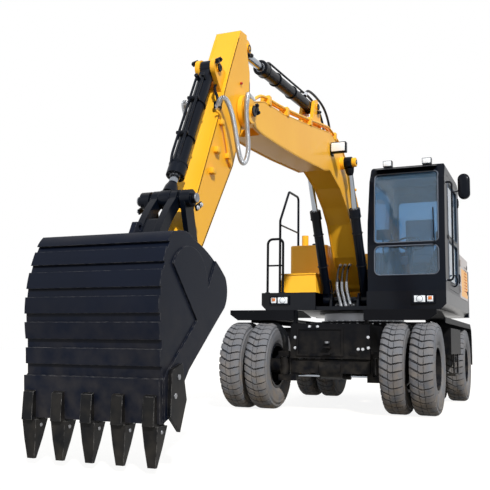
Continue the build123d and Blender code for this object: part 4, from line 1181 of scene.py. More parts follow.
@dataclass
class Tyres:
    """Twin tyres with chevron blocks, and the nuts and hub cap bolts of their wheel."""

    lugs: int = 36
    crown: float = 0.526
    half: float = 0.128
    twin_half: float = 0.165
    twin_y: float = 0.970
    axle_z: float = 0.528
    front_x: float = 1.640
    rear_x: float = -1.170
    # half profile of the casing: distance from the middle, radius
    profile: Sequence[tuple[float, float]] = (
        (0.000, 0.499), (0.060, 0.499), (0.100, 0.493), (0.118, 0.478), (0.129, 0.460), (0.134, 0.455),
        (0.137, 0.446), (0.134, 0.438), (0.139, 0.415), (0.140, 0.385), (0.136, 0.345), (0.131, 0.330),
        (0.131, 0.318), (0.124, 0.306), (0.112, 0.284), (0.104, 0.270), (0.094, 0.262), (0.088, 0.2545),
    )

    def crest(self, y: float) -> float:
        """The radius of a block's top at this distance from the middle, lower towards the shoulders."""
        return self.crown - 0.010 * max(0.0, abs(y) - 0.082) / 0.028 - 0.012 * max(0.0, abs(y) - 0.108) / 0.02

    def lug(self) -> bpy.types.Mesh:
        """One chevron: three blocks, split by two thin grooves.

        Returns:
            The chevron at the top of a wheel whose axle is the Y axis.
        """
        pitch = tau / self.lugs
        stock = Stock("lug", RUBBER)
        for start, end, steps in ((-self.half, -0.032, 4), (-0.026, 0.026, 2), (0.032, self.half, 4)):
            rings = []
            for step in range(steps + 1):
                y = start + (end - start) * step / steps
                slope = 0.75 if y < 0.005 else 0.35
                turn = pitch * slope * abs(y - 0.005) / self.half
                gap = 0.13 + 0.20 * (self.half - y) / (2 * self.half)
                reach = pitch * (1 - gap) / 2
                foot = 0.492 if abs(y) < 0.1 else 0.472
                rings.append(
                    [
                        (radius * cos(angle), y, radius * sin(angle))
                        for radius, angle in (
                            (foot, turn - reach * 1.06),
                            (self.crest(y), turn - reach),
                            (self.crest(y), turn + reach),
                            (foot, turn + reach * 1.06),
                        )
                    ]
                )
            stock.skin(rings)
        return stock.finished()

    def build(self) -> None:
        """Makes the four pairs."""
        tread = ring_recipe().run(self.lug(), count=self.lugs, finish=RUBBER.material())
        half = list(self.profile)
        loop = [(-y, r) for y, r in half[::-1]] + half[1:]
        for end, x in (("front", self.front_x), ("rear", self.rear_x)):
            for hand, sign in (("left", 1), ("right", -1)):
                middle = sign * self.twin_y
                pair = Stock(f"tyre_pair_{end}_{hand}", RUBBER)
                for y in (middle - self.twin_half, middle + self.twin_half):
                    pair.lathe(loop, (x, y, self.axle_z), (0, 1, 0), 72, closed=True)
                    pair.take(tread, (x, y, self.axle_z))
                body = f"wheel_{end}_{hand}"
                pair.ship(body, [f"tyres_{end}_{hand}"])
                self.hub(body, x, middle, sign)

    def hub(self, body: str, x: float, middle: float, sign: int) -> None:
        """Puts the bolts and the small forms on a wheel's outer face.

        Args:
            body: The wheel's body.
            x: The place of its axle.
            middle: The middle between its two tyres.
            sign: 1 on the left and -1 on the right.
        """
        outward = (0, sign, 0)
        BOLTS.ring(body, (x, middle + sign * 0.125, self.axle_z), outward, 0.115, 12, 0.009, STEEL)
        BOLTS.ring(body, (x, middle + sign * 0.175, self.axle_z), outward, 0.080, 8, 0.007, STEEL)
        for angle in angles(10):
            away = Vector((cos(angle), 0, sin(angle)))
            place = Vector((x, middle + sign * 0.068, self.axle_z)) + 0.168 * away
            BOLTS.put(body, place, Vector(outward) * 0.81 - away * 0.58, 0.014, STEEL)
        cap = Stock(f"hub_cap_{body}", STEEL)
        start = middle + sign * 0.174
        profile = [(0, 0.045), (0.006, 0.045), (0.010, 0.040), (0.010, 0.018), (0.018, 0.016)]
        cap.lathe(profile, (x, start, self.axle_z), outward)
        valve = Vector((x + 0.19, middle + sign * 0.09, self.axle_z + 0.06))
        cap.rod(valve, valve + Vector((0, sign * 0.05, 0)), 0.006, 8, 0.001)
        cap.ship(body)


# ---------------------------------------------------------------- undercarriage


@dataclass
class Undercarriage:
    """Bolts, plates and lines on the chassis."""

    plate_x: float = 1.750
    # bolts of the front plate, as y and z
    plate_bolts: Sequence[tuple[float, float]] = (
        (-0.43, 0.87), (-0.43, 0.745), (-0.248, 1.0), (-0.147, 1.0), (0.47, 0.877), (0.47, 0.753),
        (0.404, 0.737), (0.35, 0.737),
    )
    plate_bolt: float = 0.014
    flange_radius: float = 0.58
    # the slewing ring's lower flange, top and underside
    flange_faces: tuple[float, float] = (1.110, 1.085)
    flange_bolts: int = 36
    flange_bolt: float = 0.013
    kingpin: tuple[float, float, float] = (1.640, 0.600, 0.631)

    def build(self) -> None:
        """Makes everything that rides on the chassis."""
        for y, z in self.plate_bolts:
            BOLTS.put("chassis", (self.plate_x, y, z), (1, 0, 0), self.plate_bolt)
        for z, way in zip(self.flange_faces, (1, -1)):
            BOLTS.ring("chassis", (0, 0, z), (0, 0, way), self.flange_radius, self.flange_bolts, self.flange_bolt)
        x, out, top = self.kingpin
        for hand, sign in (("left", 1), ("right", -1)):
            BOLTS.ring(f"knuckle_{hand}", (x, sign * out, top), (0, 0, 1), 0.04, 4, 0.008, STEEL)
        self.fittings()

    def fittings(self) -> None:
        """Two pads and the coupling pin's head on the front plate, and the steering lines below it."""
        stock = Stock("chassis_fittings", CHASSIS_BLACK)
        front = self.plate_x
        for y in (-0.33, 0.30):
            stock.block((front - 0.002, y - 0.05, 0.66), (front + 0.008, y + 0.05, 0.72), 0.003)
        stock.use(HOSE_BLACK)
        for offset in (0.0, 0.03):
            stock.pipe(
                [
                    (1.62, -0.30 + offset, 0.70), (1.68, -0.34 + offset, 0.60), (1.66, -0.42 + offset, 0.56),
                    (1.60, -0.50 + offset, 0.60),
                ],
                0.009,
            )
        stock.use(STEEL)
        stock.rod((front + 0.034, -0.02, 0.80), (front + 0.034, -0.02, 0.825), 0.03)
        stock.ship("chassis")


# ---------------------------------------------------------------- upper structure


@dataclass
class UpperStructure:
    """Lamps, latches, treads, tank fittings and valves of the upper structure."""

    front_x: float = 0.800
    half: float = 1.245
    deck_z: float = 1.490
    # head lamps: the bezel's lower and upper edge, half its width and its rim, and the lamps' middle
    bezel_low: float = 1.322
    bezel_high: float = 1.446
    bezel_half: float = 0.145
    bezel_rim: float = 0.014
    lamp_z: float = 1.385
    # roof lamps: their places across, their face's middle height and its half width and half height
    roof_lamp_y: tuple[float, float] = (0.49, 1.01)
    roof_lamp_z: float = 3.220
    roof_lamp_half: tuple[float, float] = (0.052, 0.032)
    # the lid's treads: first place, pitch and number along x and y, and the lid's top
    tread_start: tuple[float, float] = (0.300, -0.945)
    tread_pitch: tuple[float, float] = (0.058, 0.078)
    tread_count: tuple[int, int] = (7, 6)
    lid_z: float = 1.760
    # the valve block's unions
    union_start: float = -0.24
    union_pitch: float = 0.06
    union_count: int = 5
    union_z: float = 1.326
    # the side doors' latches
    latch_x: float = -1.635
    latch_z: tuple[float, float] = (1.62, 2.02)

    def build(self) -> None:
        """Makes each group of small parts."""
        self.head_lamps()
        self.roof_lamps()
        self.tank()
        self.tool_box()
        self.bay()
        self.side_doors()
        self.platform()

    def head_lamps(self) -> None:
        """A round white lamp and a square two-colour one in each black bezel."""
        x = self.front_x + 0.012
        low, high, half, rim = self.bezel_low, self.bezel_high, self.bezel_half, self.bezel_rim
        stock = Stock("head_lamps", BLACK)
        for y, out in ((self.half - 0.281, 1), (0.265 - self.half, -1)):
            stock.use(BLACK)
            for y_low, y_high, z_low, z_high in (
                (-half, half, low, low + rim), (-half, half, high - rim, high),
                (-half, rim - half, low + rim, high - rim), (half - rim, half, low + rim, high - rim),
            ):
                stock.block((x - 0.010, y + y_low, z_low), (x + 0.014, y + y_high, z_high), 0.002)
            stock.block((x - 0.006, y - half + 0.01, low + 0.01), (x + 0.001, y + half - 0.01, high - 0.01), 0.001)
            stock.use(LENS)
            span = sorted((y - out * 0.118, y + out * 0.022))
            stock.block((x - 0.001, span[0], 1.342), (x + 0.006, span[1], 1.428), 0.003)
            spot = (x + 0.005, y - out * 0.048, self.lamp_z)
            stock.use(CHROME)
            stock.lathe([(0, 0.043), (0.006, 0.043), (0.006, 0.037), (0.0, 0.035)], spot, (1, 0, 0))
            stock.use(LENS)
            stock.lathe([(0, 0.037), (0.004, 0.036), (0.009, 0.026), (0.012, 0.009)], spot, (1, 0, 0))
            span = sorted((y + out * 0.045, y + out * 0.120))
            stock.block((x - 0.001, span[0], 1.348), (x + 0.006, span[1], 1.422), 0.003)
            stock.use(AMBER)
            stock.block((x + 0.005, span[0] + 0.014, 1.372), (x + 0.008, span[1] - 0.014, 1.416), 0.003)
        stock.ship("upper")

    def roof_lamps(self) -> None:
        """Two work lamps on the cab's roof, each a black box with a white face."""
        stock = Stock("roof_lamps", BLACK)
        half, rise = self.roof_lamp_half
        z, edge = self.roof_lamp_z, 0.004
        for y in self.roof_lamp_y:
            stock.use(LENS)
            stock.block((0.640, y - half, z - rise), (0.645, y + half, z + rise), 0.002)
            stock.use(CHROME)
            corners = ((-1, -1), (1, -1), (1, 1), (-1, 1))
            stock.bead([(0.643, y + a * (half + edge), z + b * (rise + edge)) for a, b in corners], 0.003)
        stock.ship("upper")

    def tank(self) -> None:
        """Filler cap, straps and level glass of the fuel tank."""
        stock = Stock("tank_fittings", BLACK)
        stock.lathe([(0, 0.06), (0.03, 0.06), (0.04, 0.05), (0.045, 0.02)], (0.02, -0.70, 2.219), (0, 0, 1))
        stock.use(YELLOW)
        for x in (-0.60, 0.08):
            stock.block((x - 0.02, -1.046, 1.52), (x + 0.02, -0.474, 2.19), 0.005)
        stock.use(STEEL)
        stock.block((-0.02, -1.048, 1.86), (0.02, -1.036, 1.98), 0.003)
        stock.ship("upper")

    def tool_box(self) -> None:
        """Round treads on the tool box's lid."""
        lid = Stock("tool_box_tread", STEEL)
        for step in range(self.tread_count[0]):
            for row in range(self.tread_count[1]):
                x = self.tread_start[0] + self.tread_pitch[0] * step
                y = self.tread_start[1] + self.tread_pitch[1] * row
                lid.lathe([(-0.001, 0.016), (0.002, 0.015), (0.003, 0.010)], (x, y, self.lid_z), (0, 0, 1), 10)
        lid.ship("tool_box_lid")

    def bay(self) -> None:
        """Valve block with its unions and two pipes, low between the lift cylinders."""
        stock = Stock("bay_valves", CAST_GREY)
        stock.block((0.30, -0.27, 1.302), (0.56, 0.03, 1.345), 0.006)
        z = self.union_z
        for step in range(self.union_count):
            y = self.union_start + self.union_pitch * step
            stock.block((0.34, y - 0.02, 1.344), (0.52, y + 0.02, 1.368), 0.004)
            stock.use(STEEL)
            stock.rod((0.555, y, z), (0.585, y, z), 0.013, 6, 0.002)
            stock.use(CAST_GREY)
        stock.use(HOSE_BLACK)
        for y in (-0.21, -0.03):
            stock.pipe([(0.58, y, z), (0.64, y, z), (0.68, y + 0.02, z - 0.008), (0.74, y + 0.02, z - 0.010)], 0.012)
        stock.ship("upper")

    def side_doors(self) -> None:
        """Recessed latches on the engine's side doors."""
        for hand, sign in (("left", 1), ("right", -1)):
            y = sign * self.half
            stock = Stock(f"side_door_latch_{hand}", BLACK)
            x = self.latch_x
            for z in self.latch_z:
                stock.block((x - 0.03, y - 0.004, z - 0.03), (x + 0.03, y + 0.004, z + 0.03), 0.003)
                stock.rod((x, y - 0.002, z), (x, y + 0.007, z), 0.014, 16, 0.002)
            stock.ship(f"side_door_{hand}")

    def platform(self) -> None:
        """Deck treads and the sockets of the handrails."""
        stock = Stock("deck_treads", STEEL)
        for y in (-1.10, -1.17):
            stock.block((-0.60, y - 0.02, self.deck_z - 0.001), (0.74, y + 0.02, self.deck_z + 0.004), 0.002)
        stock.use(BLACK)
        for y in (-1.17, -0.945):
            stock.lathe([(0, 0.034), (0.008, 0.034), (0.010, 0.03)], (0.77, y, self.deck_z), (0, 0, 1))
        stock.ship("upper")


# ---------------------------------------------------------------- cab


def rounded(width: float, height: float, radius: float, steps: int = 6) -> list[tuple[float, float]]:
    """A rectangle with round corners, about its middle.

    Args:
        width: Its size along the first coordinate.
        height: Its size along the second coordinate.
        radius: The corners' radius.
        steps: Steps in each corner.

    Returns:
        The points of its outline.
    """
    points = []
    for quarter, (a, b) in enumerate(((1, 1), (-1, 1), (-1, -1), (1, -1))):
        for step in range(steps + 1):
            angle = pi / 2 * (quarter + step / steps)
            points.append(
                (a * (width / 2 - radius) + radius * cos(angle), b * (height / 2 - radius) + radius * sin(angle))
            )
    return points


@dataclass
class Cab:
    """Seals, handles, wiper, mirror, seat and controls of the cab."""

    middle: float = 0.745
    half: float = 1.245
    # the front's profile, as height and x
    front: Sequence[tuple[float, float]] = ((1.49, 0.795), (2.10, 0.795), (2.96, 0.740), (3.17, 0.640))
    # windows: lowest and highest edge, and for the front ones the corners' radius
    front_windows: Sequence[tuple[float, float, float]] = ((1.700, 2.075, 0.07), (2.125, 3.060, 0.05))
    front_width: float = 0.824
    door_windows: Sequence[tuple[float, float]] = ((1.64, 2.18), (2.24, 2.96))
    door_width: float = 0.944
    seal_radius: float = 0.008
    mirror_back: tuple[float, float, float] = (0.688, 1.480, 2.830)
    mirror_size: tuple[float, float] = (0.150, 0.330)
    # joysticks' distance from the seat's middle
    stick_out: float = 0.31
    # steering wheel: its column's foot, tilt in degrees and length, and the rim's radius and thickness
    wheel_foot: tuple[float, float] = (0.560, 1.6508)
    wheel_tilt: float = 20.0
    wheel_column: float = 0.535
    wheel_radius: float = 0.176
    wheel_rim: float = 0.013

    def front_x(self, z: float) -> float:
        """Finds the outer face of the cab's front.

        Args:
            z: The height.

        Returns:
            The face's x at this height.
        """
        for (low, near), (high, far) in zip(self.front, self.front[1:]):
            if z <= high:
                return near + (far - near) * (z - low) / (high - low)
        return self.front[-1][1]

    def build(self) -> None:
        """Makes each group."""
        self.seals()
        self.outside()
        self.mirror()
        self.controls()
        self.wheel()
        self.cushions()

    def seals(self) -> None:
        """Rubber seals round the windows, and the door's handle and lock."""
        stock = Stock("cab_seals", SEAL)
        for low, high, radius in self.front_windows:
            outline = rounded(self.front_width, high - low + 0.004, radius, 8)
            edge = []
            for (y, z), (y_next, z_next) in zip(outline, outline[1:] + outline[:1]):
                count = max(1, int(hypot(y_next - y, z_next - z) / 0.08))
                edge += [(y + (y_next - y) * i / count, z + (z_next - z) * i / count) for i in range(count)]
            places = [(y + self.middle + 0.005, z + (low + high) / 2) for y, z in edge]
            stock.bead([(self.front_x(z) + 0.001, y, z) for y, z in places], self.seal_radius)
        rear = rounded(0.744, 0.764, 0.06)
        stock.bead([(-0.701, self.middle + y, 2.55 + z) for y, z in rear], self.seal_radius)
        stock.ship("upper")
        door = Stock("cab_door_seals", SEAL)
        for low, high in self.door_windows:
            outline = rounded(self.door_width, high - low + 0.004, 0.06)
            door.bead([(x, self.half + 0.001, (low + high) / 2 + z) for x, z in outline], 0.007)
        door.use(BLACK)
        near, far = self.half - 0.002, self.half + 0.045
        door.pipe([(-0.03, near, 1.60), (-0.03, far, 1.60), (-0.03, far, 1.75), (-0.03, near, 1.75)], 0.011)
        door.block((0.43, self.half - 0.003, 2.185), (0.53, self.half + 0.012, 2.235), 0.005)
        door.ship("cab_door")

    def outside(self) -> None:
        """Visor, roof hatch, wiper and the door's hinge caps."""
        stock = Stock("cab_trim", BLACK)
        visor = [(0.655, 3.135), (0.775, 3.105), (0.778, 3.112), (0.660, 3.150)]
        stock.prism(visor, self.middle - 0.40, self.middle + 0.40, Axis.Y)
        stock.block((-0.35, self.middle - 0.32, 3.165), (0.30, self.middle + 0.32, 3.185), 0.01)
        stock.use(SEAL)
        stock.bead([(-0.025 + x, self.middle + y, 3.186) for x, y in rounded(0.60, 0.58, 0.06)], 0.006)
        stock.use(BLACK)
        root = (self.front_x(2.10) + 0.002, 1.12, 2.10)
        stock.rod(root, (root[0] + 0.03, root[1], root[2]), 0.018, 14)
        stock.pipe([(0.822, 1.12, 2.10), (0.824, 1.115, 2.22), (0.812, 1.105, 2.38)], 0.006)
        stock.pipe([(0.806, 1.108, 2.16), (0.800, 1.105, 2.36), (0.788, 1.10, 2.56)], 0.008, 6)
        stock.use(STEEL)
        for x, z in ((0.74, 1.62), (0.69, 2.90)):
            stock.rod((x, self.half - 0.002, z), (x, self.half + 0.008, z), 0.024, 16)
        stock.ship("upper")

    def mirror(self) -> None:
        """A domed back on the mirror's housing and its glass."""
        stock = Stock("mirror_dome", BLACK)
        outline = rounded(*self.mirror_size, 0.074, 8)
        back, side, height = self.mirror_back
        levels = ((0.0, 1.0), (0.014, 0.93), (0.024, 0.78), (0.030, 0.5))
        stock.skin([[(back + rise, side + y * size, height + z * size) for y, z in outline] for rise, size in levels])
        stock.use(CHROME)
        stock.skin([[(x, side + y * 0.86, height + z * 0.9) for y, z in outline] for x in (0.6385, 0.642)])
        stock.ship("upper")

    def controls(self) -> None:
        """Joysticks with their armrests, screen, side console and pedals."""
        stock = Stock("cab_controls", PLASTIC)
        for y in (self.middle - self.stick_out, self.middle + self.stick_out):
            stock.lathe([(0, 0.045), (0.02, 0.04), (0.05, 0.022), (0.08, 0.014)], (0.10, y, 2.079), (0, 0, 1))
            stock.lathe(
                [(0, 0.012), (0.06, 0.012), (0.09, 0.024), (0.15, 0.028), (0.19, 0.024), (0.20, 0.01)],
                (0.10, y, 2.15), (0.12, 0, 1),
            )
            stock.block((-0.30, y - 0.05, 2.078), (0.02, y + 0.05, 2.10), 0.01)
        stock.block((0.52, 0.31, 2.20), (0.55, 0.50, 2.34), 0.008)
        stock.rod((0.535, 0.40, 2.0), (0.535, 0.40, 2.21), 0.012)
        stock.block((0.40, 0.285, 1.535), (0.62, 0.37, 2.02), 0.01)
        for y in (0.60, 0.88):
            stock.block((0.50, y - 0.045, 1.60), (0.58, y + 0.045, 1.625), 0.006)
            stock.rod((0.58, y, 1.54), (0.555, y, 1.605), 0.01)
        stock.ship("upper")

    def wheel(self) -> None:
        """A round-section steering wheel with three spokes on its tilted column."""
        tilt = radians(self.wheel_tilt)
        up = Vector((-sin(tilt), 0, cos(tilt)))
        foot = Vector((self.wheel_foot[0], self.middle, self.wheel_foot[1]))
        stock = Stock("steering_wheel_rim", PLASTIC)
        stock.lathe(
            [(0, 0.045), (0.03, 0.040), (0.35, 0.034), (0.45, 0.055), (0.50, 0.055), (0.53, 0.03)], foot, up
        )
        middle = foot + up * self.wheel_column
        ahead = Vector((cos(tilt), 0, sin(tilt)))
        rim = [middle + self.wheel_radius * (cos(a) * ahead + sin(a) * ACROSS) for a in angles(36)]
        stock.bead(rim, self.wheel_rim)
        for angle in angles(3):
            way = cos(angle) * ahead + sin(angle) * ACROSS
            stock.rod(middle - up * 0.02, middle + way * (self.wheel_radius - 0.004), 0.010, 10)
        stock.ship("upper", ["steering_wheel"])

    def cushions(self) -> None:
        """The seat's two padded cushions."""
        squab = [(-0.325, 1.925), (0.115, 1.925), (0.125, 2.020), (-0.300, 2.000)]
        back = [(-0.335, 2.02), (-0.405, 2.60), (-0.325, 2.61), (-0.230, 2.02)]
        for name, outline, width in (("seat_squab", squab, 0.43), ("seat_back", back, 0.42)):
            rough = Stock(name, CLOTH)
            rough.prism(outline, self.middle - width / 2, self.middle + width / 2, Axis.Y, 0.012)
            mesh = puff(rough.finished())
            mesh.materials.clear()
            mesh.materials.append(CLOTH.material())
            piece = deliver(name, mesh, "upper", ["seat"])


def puff(
    mesh: bpy.types.Mesh, voxel: float = 0.016, cap: float = 0.012, pressure: float = 4.0, frames: int = 20
) -> bpy.types.Mesh:
    """Blows a cushion up by cloth simulation.

    Args:
        mesh: The cushion's rough form.
        voxel: The remesh's grid.
        cap: The most that a point may move.
        pressure: The pressure inside.
        frames: How many frames the simulation runs for.

    Returns:
        The crowned and smoothed cushion.
    """
    holder = show("pad", mesh)
    grid = holder.modifiers.new("grid", "REMESH")
    grid.mode = "VOXEL"
    grid.voxel_size = voxel
    base = evaluated(holder)
    holder.modifiers.remove(grid)
    holder.data = base
    still = [vertex.co.copy() for vertex in base.vertices]
    cloth = holder.modifiers.new("cloth", "CLOTH")
    cloth.settings.use_pressure = True
    cloth.settings.uniform_pressure_force = pressure
    cloth.settings.effector_weights.gravity = 0.0
    cloth.point_cache.frame_start = 1
    cloth.point_cache.frame_end = frames
    for step in range(1, frames + 1):
        bpy.context.scene.frame_set(step)
    blown = evaluated(holder)
    holder.modifiers.remove(cloth)
    for vertex, start, moved in zip(base.vertices, still, blown.vertices):
        move = moved.co - start
        vertex.co = start + move * min(1.0, cap / max(move.length, 1e-9))
    bpy.context.scene.frame_set(1)
    smooth = holder.modifiers.new("smooth", "SUBSURF")
    smooth.levels = smooth.render_levels = 1
    made = evaluated(holder)
    made.shade_smooth()
    bpy.data.objects.remove(holder)
    return made


# ---------------------------------------------------------------- working arm


@dataclass(frozen=True)
class CylinderLines:
    """Steel lines along a cylinder, with their port block and bands.

    Distances run along the cylinder from its foot, or out from its axis.

    Args:
        body: The body that they ride on.
        name: The piece's name.
        foot: The foot's pivot in side view.
        head: The rod eye's pivot in side view.
        sides: How far each line stands from the boom's middle plane.
        run: Five distances along: the line's four points at full height, and where it turns in.
        out: How far out the line runs.
        port: The port's place along, its inner and outer distance out, and its radius.
        bands: The bands' places.
        band_radius: Their radius.
        clamp: The radius of the bar that clamps the lines at each band, or nothing.
        pipe_radius: The lines' radius.
        inlet: How far out a line ends.
    """

    body: str
    name: str
    foot: tuple[float, float]
    head: tuple[float, float]
    sides: tuple[float, ...]
    run: tuple[float, float, float, float, float]
    out: float
    port: tuple[float, float, float, float]
    bands: tuple[float, ...]
    band_radius: float
    clamp: float = 0.0
    pipe_radius: float = 0.011
    inlet: float = 0.05

    def build(self) -> None:
        """Makes the lines, the ports and the bands as one piece."""
        double = len(self.sides) > 1
        plane = 0.0 if double else self.sides[0]
        foot = Vector((self.foot[0], BOOM_Y + plane, self.foot[1]))
        head = Vector((self.head[0], BOOM_Y + plane, self.head[1]))
        way = (head - foot).normalized()
        out = Vector((-way.z, 0, way.x))
        stock = Stock(self.name, BLACK)
        for side in self.sides:
            shift = (side - plane) * ACROSS
            base = foot + out * self.out + shift
            near = foot + out * self.inlet + shift
            stock.pipe([base + way * along for along in self.run[:4]] + [near + way * self.run[4]], self.pipe_radius)
            along, inner, outer, radius = self.port
            stock.rod(*(foot + out * away + shift + way * along for away in (inner, outer)), radius, 6)
        for along in self.bands:
            stock.band(foot + way * along, out, self.band_radius)
            if self.clamp:
                bar = foot + way * along + out * self.out
                stock.rod(bar - 0.05 * ACROSS, bar + 0.05 * ACROSS, self.clamp, 6)
        stock.ship(self.body)


@dataclass
class WorkingArm:
    """Weld lips, pins, pipes, clamps, glands and small parts of the boom, arm and bucket."""

    boom_half: float = 0.166
    arm_half: float = 0.120
    pipe_radius: float = 0.0155
    # how far the outer and the inner pipes stand from the boom's middle plane
    pipe_outer: float = 0.150
    pipe_inner: float = 0.110
    # the pipes' line and the clamps' feet in side view, as x and z
    pipe_route: Sequence[tuple[float, float]] = (
        (4.30, 2.992), (4.22, 3.045), (4.08, 3.105), (3.54, 3.152), (2.76, 3.272), (1.95, 3.412), (1.85, 3.418),
        (1.58, 3.386), (1.32, 3.325), (0.92, 3.105), (0.48, 2.735), (0.38, 2.595),
    )
    pipe_clamps: Sequence[tuple[float, float]] = (
        (3.942, 3.05), (3.42, 3.098), (2.641, 3.224), (1.62, 3.327), (0.80, 2.92)
    )
    clamp_height: float = 0.092
    # the plates' outlines in side view, as x and z
    boom_top: Sequence[tuple[float, float]] = (
        (4.33, 2.957), (4.08, 3.04), (3.54, 3.08), (2.76, 3.20), (1.88, 3.35), (1.58, 3.32), (1.35, 3.27),
        (0.95, 3.05), (0.52, 2.68), (0.22, 2.24), (-0.05, 1.868),
    )
    boom_under: Sequence[tuple[float, float]] = (
        (0.10, 1.59), (0.60, 1.97), (0.87, 2.38), (1.09, 2.57), (1.42, 2.76), (1.88, 2.89), (2.08, 2.84),
        (3.08, 2.76), (3.68, 2.73), (4.115, 2.72), (4.33, 2.74),
    )
    arm_front: Sequence[tuple[float, float]] = (
        (5.72, 1.19), (5.411, 1.80), (4.971, 2.69), (4.788, 3.10), (4.60, 3.477)
    )
    arm_back: Sequence[tuple[float, float]] = (
        (4.336, 3.15), (4.333, 3.07), (4.689, 2.285), (5.237, 1.525), (5.56, 1.109)
    )

    def build(self) -> None:
        """Makes each group."""
        self.lips()
        self.boom_pipes()
        self.boom_lamp()
        self.pins()
        self.lift_caps()
        self.arm_pipes()
        self.rods()
        self.cylinder_lines()
        self.bucket_parts()

    def lips(self) -> None:
        """The side plates' edges, which stand proud of the top and bottom plates."""
        inward = 0.004
        for name, body, half, lip, proud, lines in (
            # name, body, half width, thickness, rise above the plate, lines
            ("boom_lips", "boom", self.boom_half, 0.016, 0.008, (self.boom_top[::-1][1:], self.boom_under[::-1])),
            ("arm_lips", "arm", self.arm_half, 0.022, 0.011, (self.arm_front, self.arm_back)),
        ):
            stock = Stock(name, YELLOW)
            for line in lines:
                for sign in (-1, 1):
                    y = BOOM_Y + sign * half
                    stock.strip(line[::-1], tuple(sorted((y, y - sign * lip))), inward, proud)
            stock.ship(body)

    def boom_pipes(self) -> None:
        """Two pairs of pipes along the boom's top plate, in clamps, over the knee and down its back."""
        stock = Stock("boom_pipes", YELLOW)
        whole = list(self.pipe_route)
        # the inner pair rises from the top plate at the first clamp
        short = [(3.96, 3.04), (3.955, 3.115)] + whole[3:]
        for hand in (-1, 1):
            for away, route in ((self.pipe_outer, whole), (self.pipe_inner, short)):
                stock.pipe([(x, BOOM_Y + hand * away, z) for x, z in route], self.pipe_radius, 12)
        for x, z in self.pipe_clamps:
            for hand in (-1, 1):
                y = BOOM_Y + hand * (self.pipe_outer + self.pipe_inner) / 2
                top = z + self.clamp_height
                stock.block((x - 0.033, y - 0.048, z - 0.004), (x + 0.033, y + 0.048, top), 0.006)
                BOLTS.put("boom", (x, y, top), (0, 0, 1), 0.012)
        stock.ship("boom")

    def boom_lamp(self) -> None:
        """A work lamp on the boom's left side and yellow pipe stubs below it."""
        stock = Stock("boom_lamp", BLACK)
        y = BOOM_Y + self.boom_half
        stock.block((1.80, y + 0.01, 3.10), (1.88, y + 0.20, 3.23), 0.008)
        stock.block((1.76, y - 0.002, 3.08), (1.86, y + 0.02, 3.13), 0.004)
        stock.use(LENS)
        stock.block((1.879, y + 0.022, 3.112), (1.885, y + 0.188, 3.218), 0.003)
        stock.use(YELLOW)
        for x, z in ((0.777, 2.86), (0.56, 2.58)):
            stock.rod((x, y - 0.002, z), (x, y + 0.05, z), 0.018, 14)
        stock.ship("boom")

    def pin_end(
        self, stock: Stock, body: str, pivot: tuple[float, float], half: float, sign: int, radius: float, bar: float
    ) -> None:
        """A pin's end disc with its keeper bar, held by two bolts.

        Args:
            stock: The piece that takes them.
            body: The body that it rides on.
            pivot: The pin's place in side view.
            half: How far its face stands from the boom's middle plane.
            sign: 1 on the left and -1 on the right.
            radius: The disc's radius.
            bar: The keeper bar's direction in side view, in degrees.
        """
        painted = body in ("boom", "arm")
        centre = Vector((pivot[0], BOOM_Y + sign * half, pivot[1]))
        stock.use(BLACK if painted else STEEL)
        stock.lathe(
            [(0, radius), (0.008, radius), (0.012, radius - 0.004), (0.012, 0.02), (0.007, 0.012)],
            centre, (0, sign, 0), 28,
        )
        way = Vector((cos(radians(bar)), 0, sin(radians(bar))))
        side = Vector((-way.z, 0, way.x))
        middle = centre + way * (radius + 0.03)
        stock.use(BLACK)
        corners = ((-0.02, -0.05), (0.02, -0.05), (0.02, 0.05), (-0.02, 0.05))
        stock.skin(
            [[middle + way * a + side * b + sign * depth * ACROSS for a, b in corners] for depth in (-0.002, 0.012)]
        )
        for b in (-0.032, 0.032):
            place = middle + side * b + sign * 0.012 * ACROSS
            BOLTS.put(body, place, (0, sign, 0), 0.013, BLACK if painted else ZINC)

    def pins(self) -> None:
        """Pin ends of the boom, the arm, the rocker and the bucket."""
        table = (
            # body, then for each pin: pivot, half width, radius, bar angle
            ("boom", (ARM_PIVOT, 0.225, 0.050, 150), (STICK_FOOT, 0.102, 0.036, 250)),
            ("arm", (CURL_FOOT, 0.102, 0.033, 60), (STICK_HEAD, 0.099, 0.036, 250)),
            ("rocker", (ROCKER_PIVOT, 0.185, 0.034, 60), (LINK_TOP, 0.235, 0.036, 240)),
            ("bucket", (BUCKET_PIVOT, 0.226, 0.039, 50), (LINK_FOOT, 0.226, 0.034, 300)),
        )
        for body, *rows in table:
            stock = Stock(f"{body}_pins", STEEL)
            for pivot, half, radius, bar in rows:
                for sign in (-1, 1):
                    self.pin_end(stock, body, pivot, half, sign, radius, bar)
            stock.ship(body)

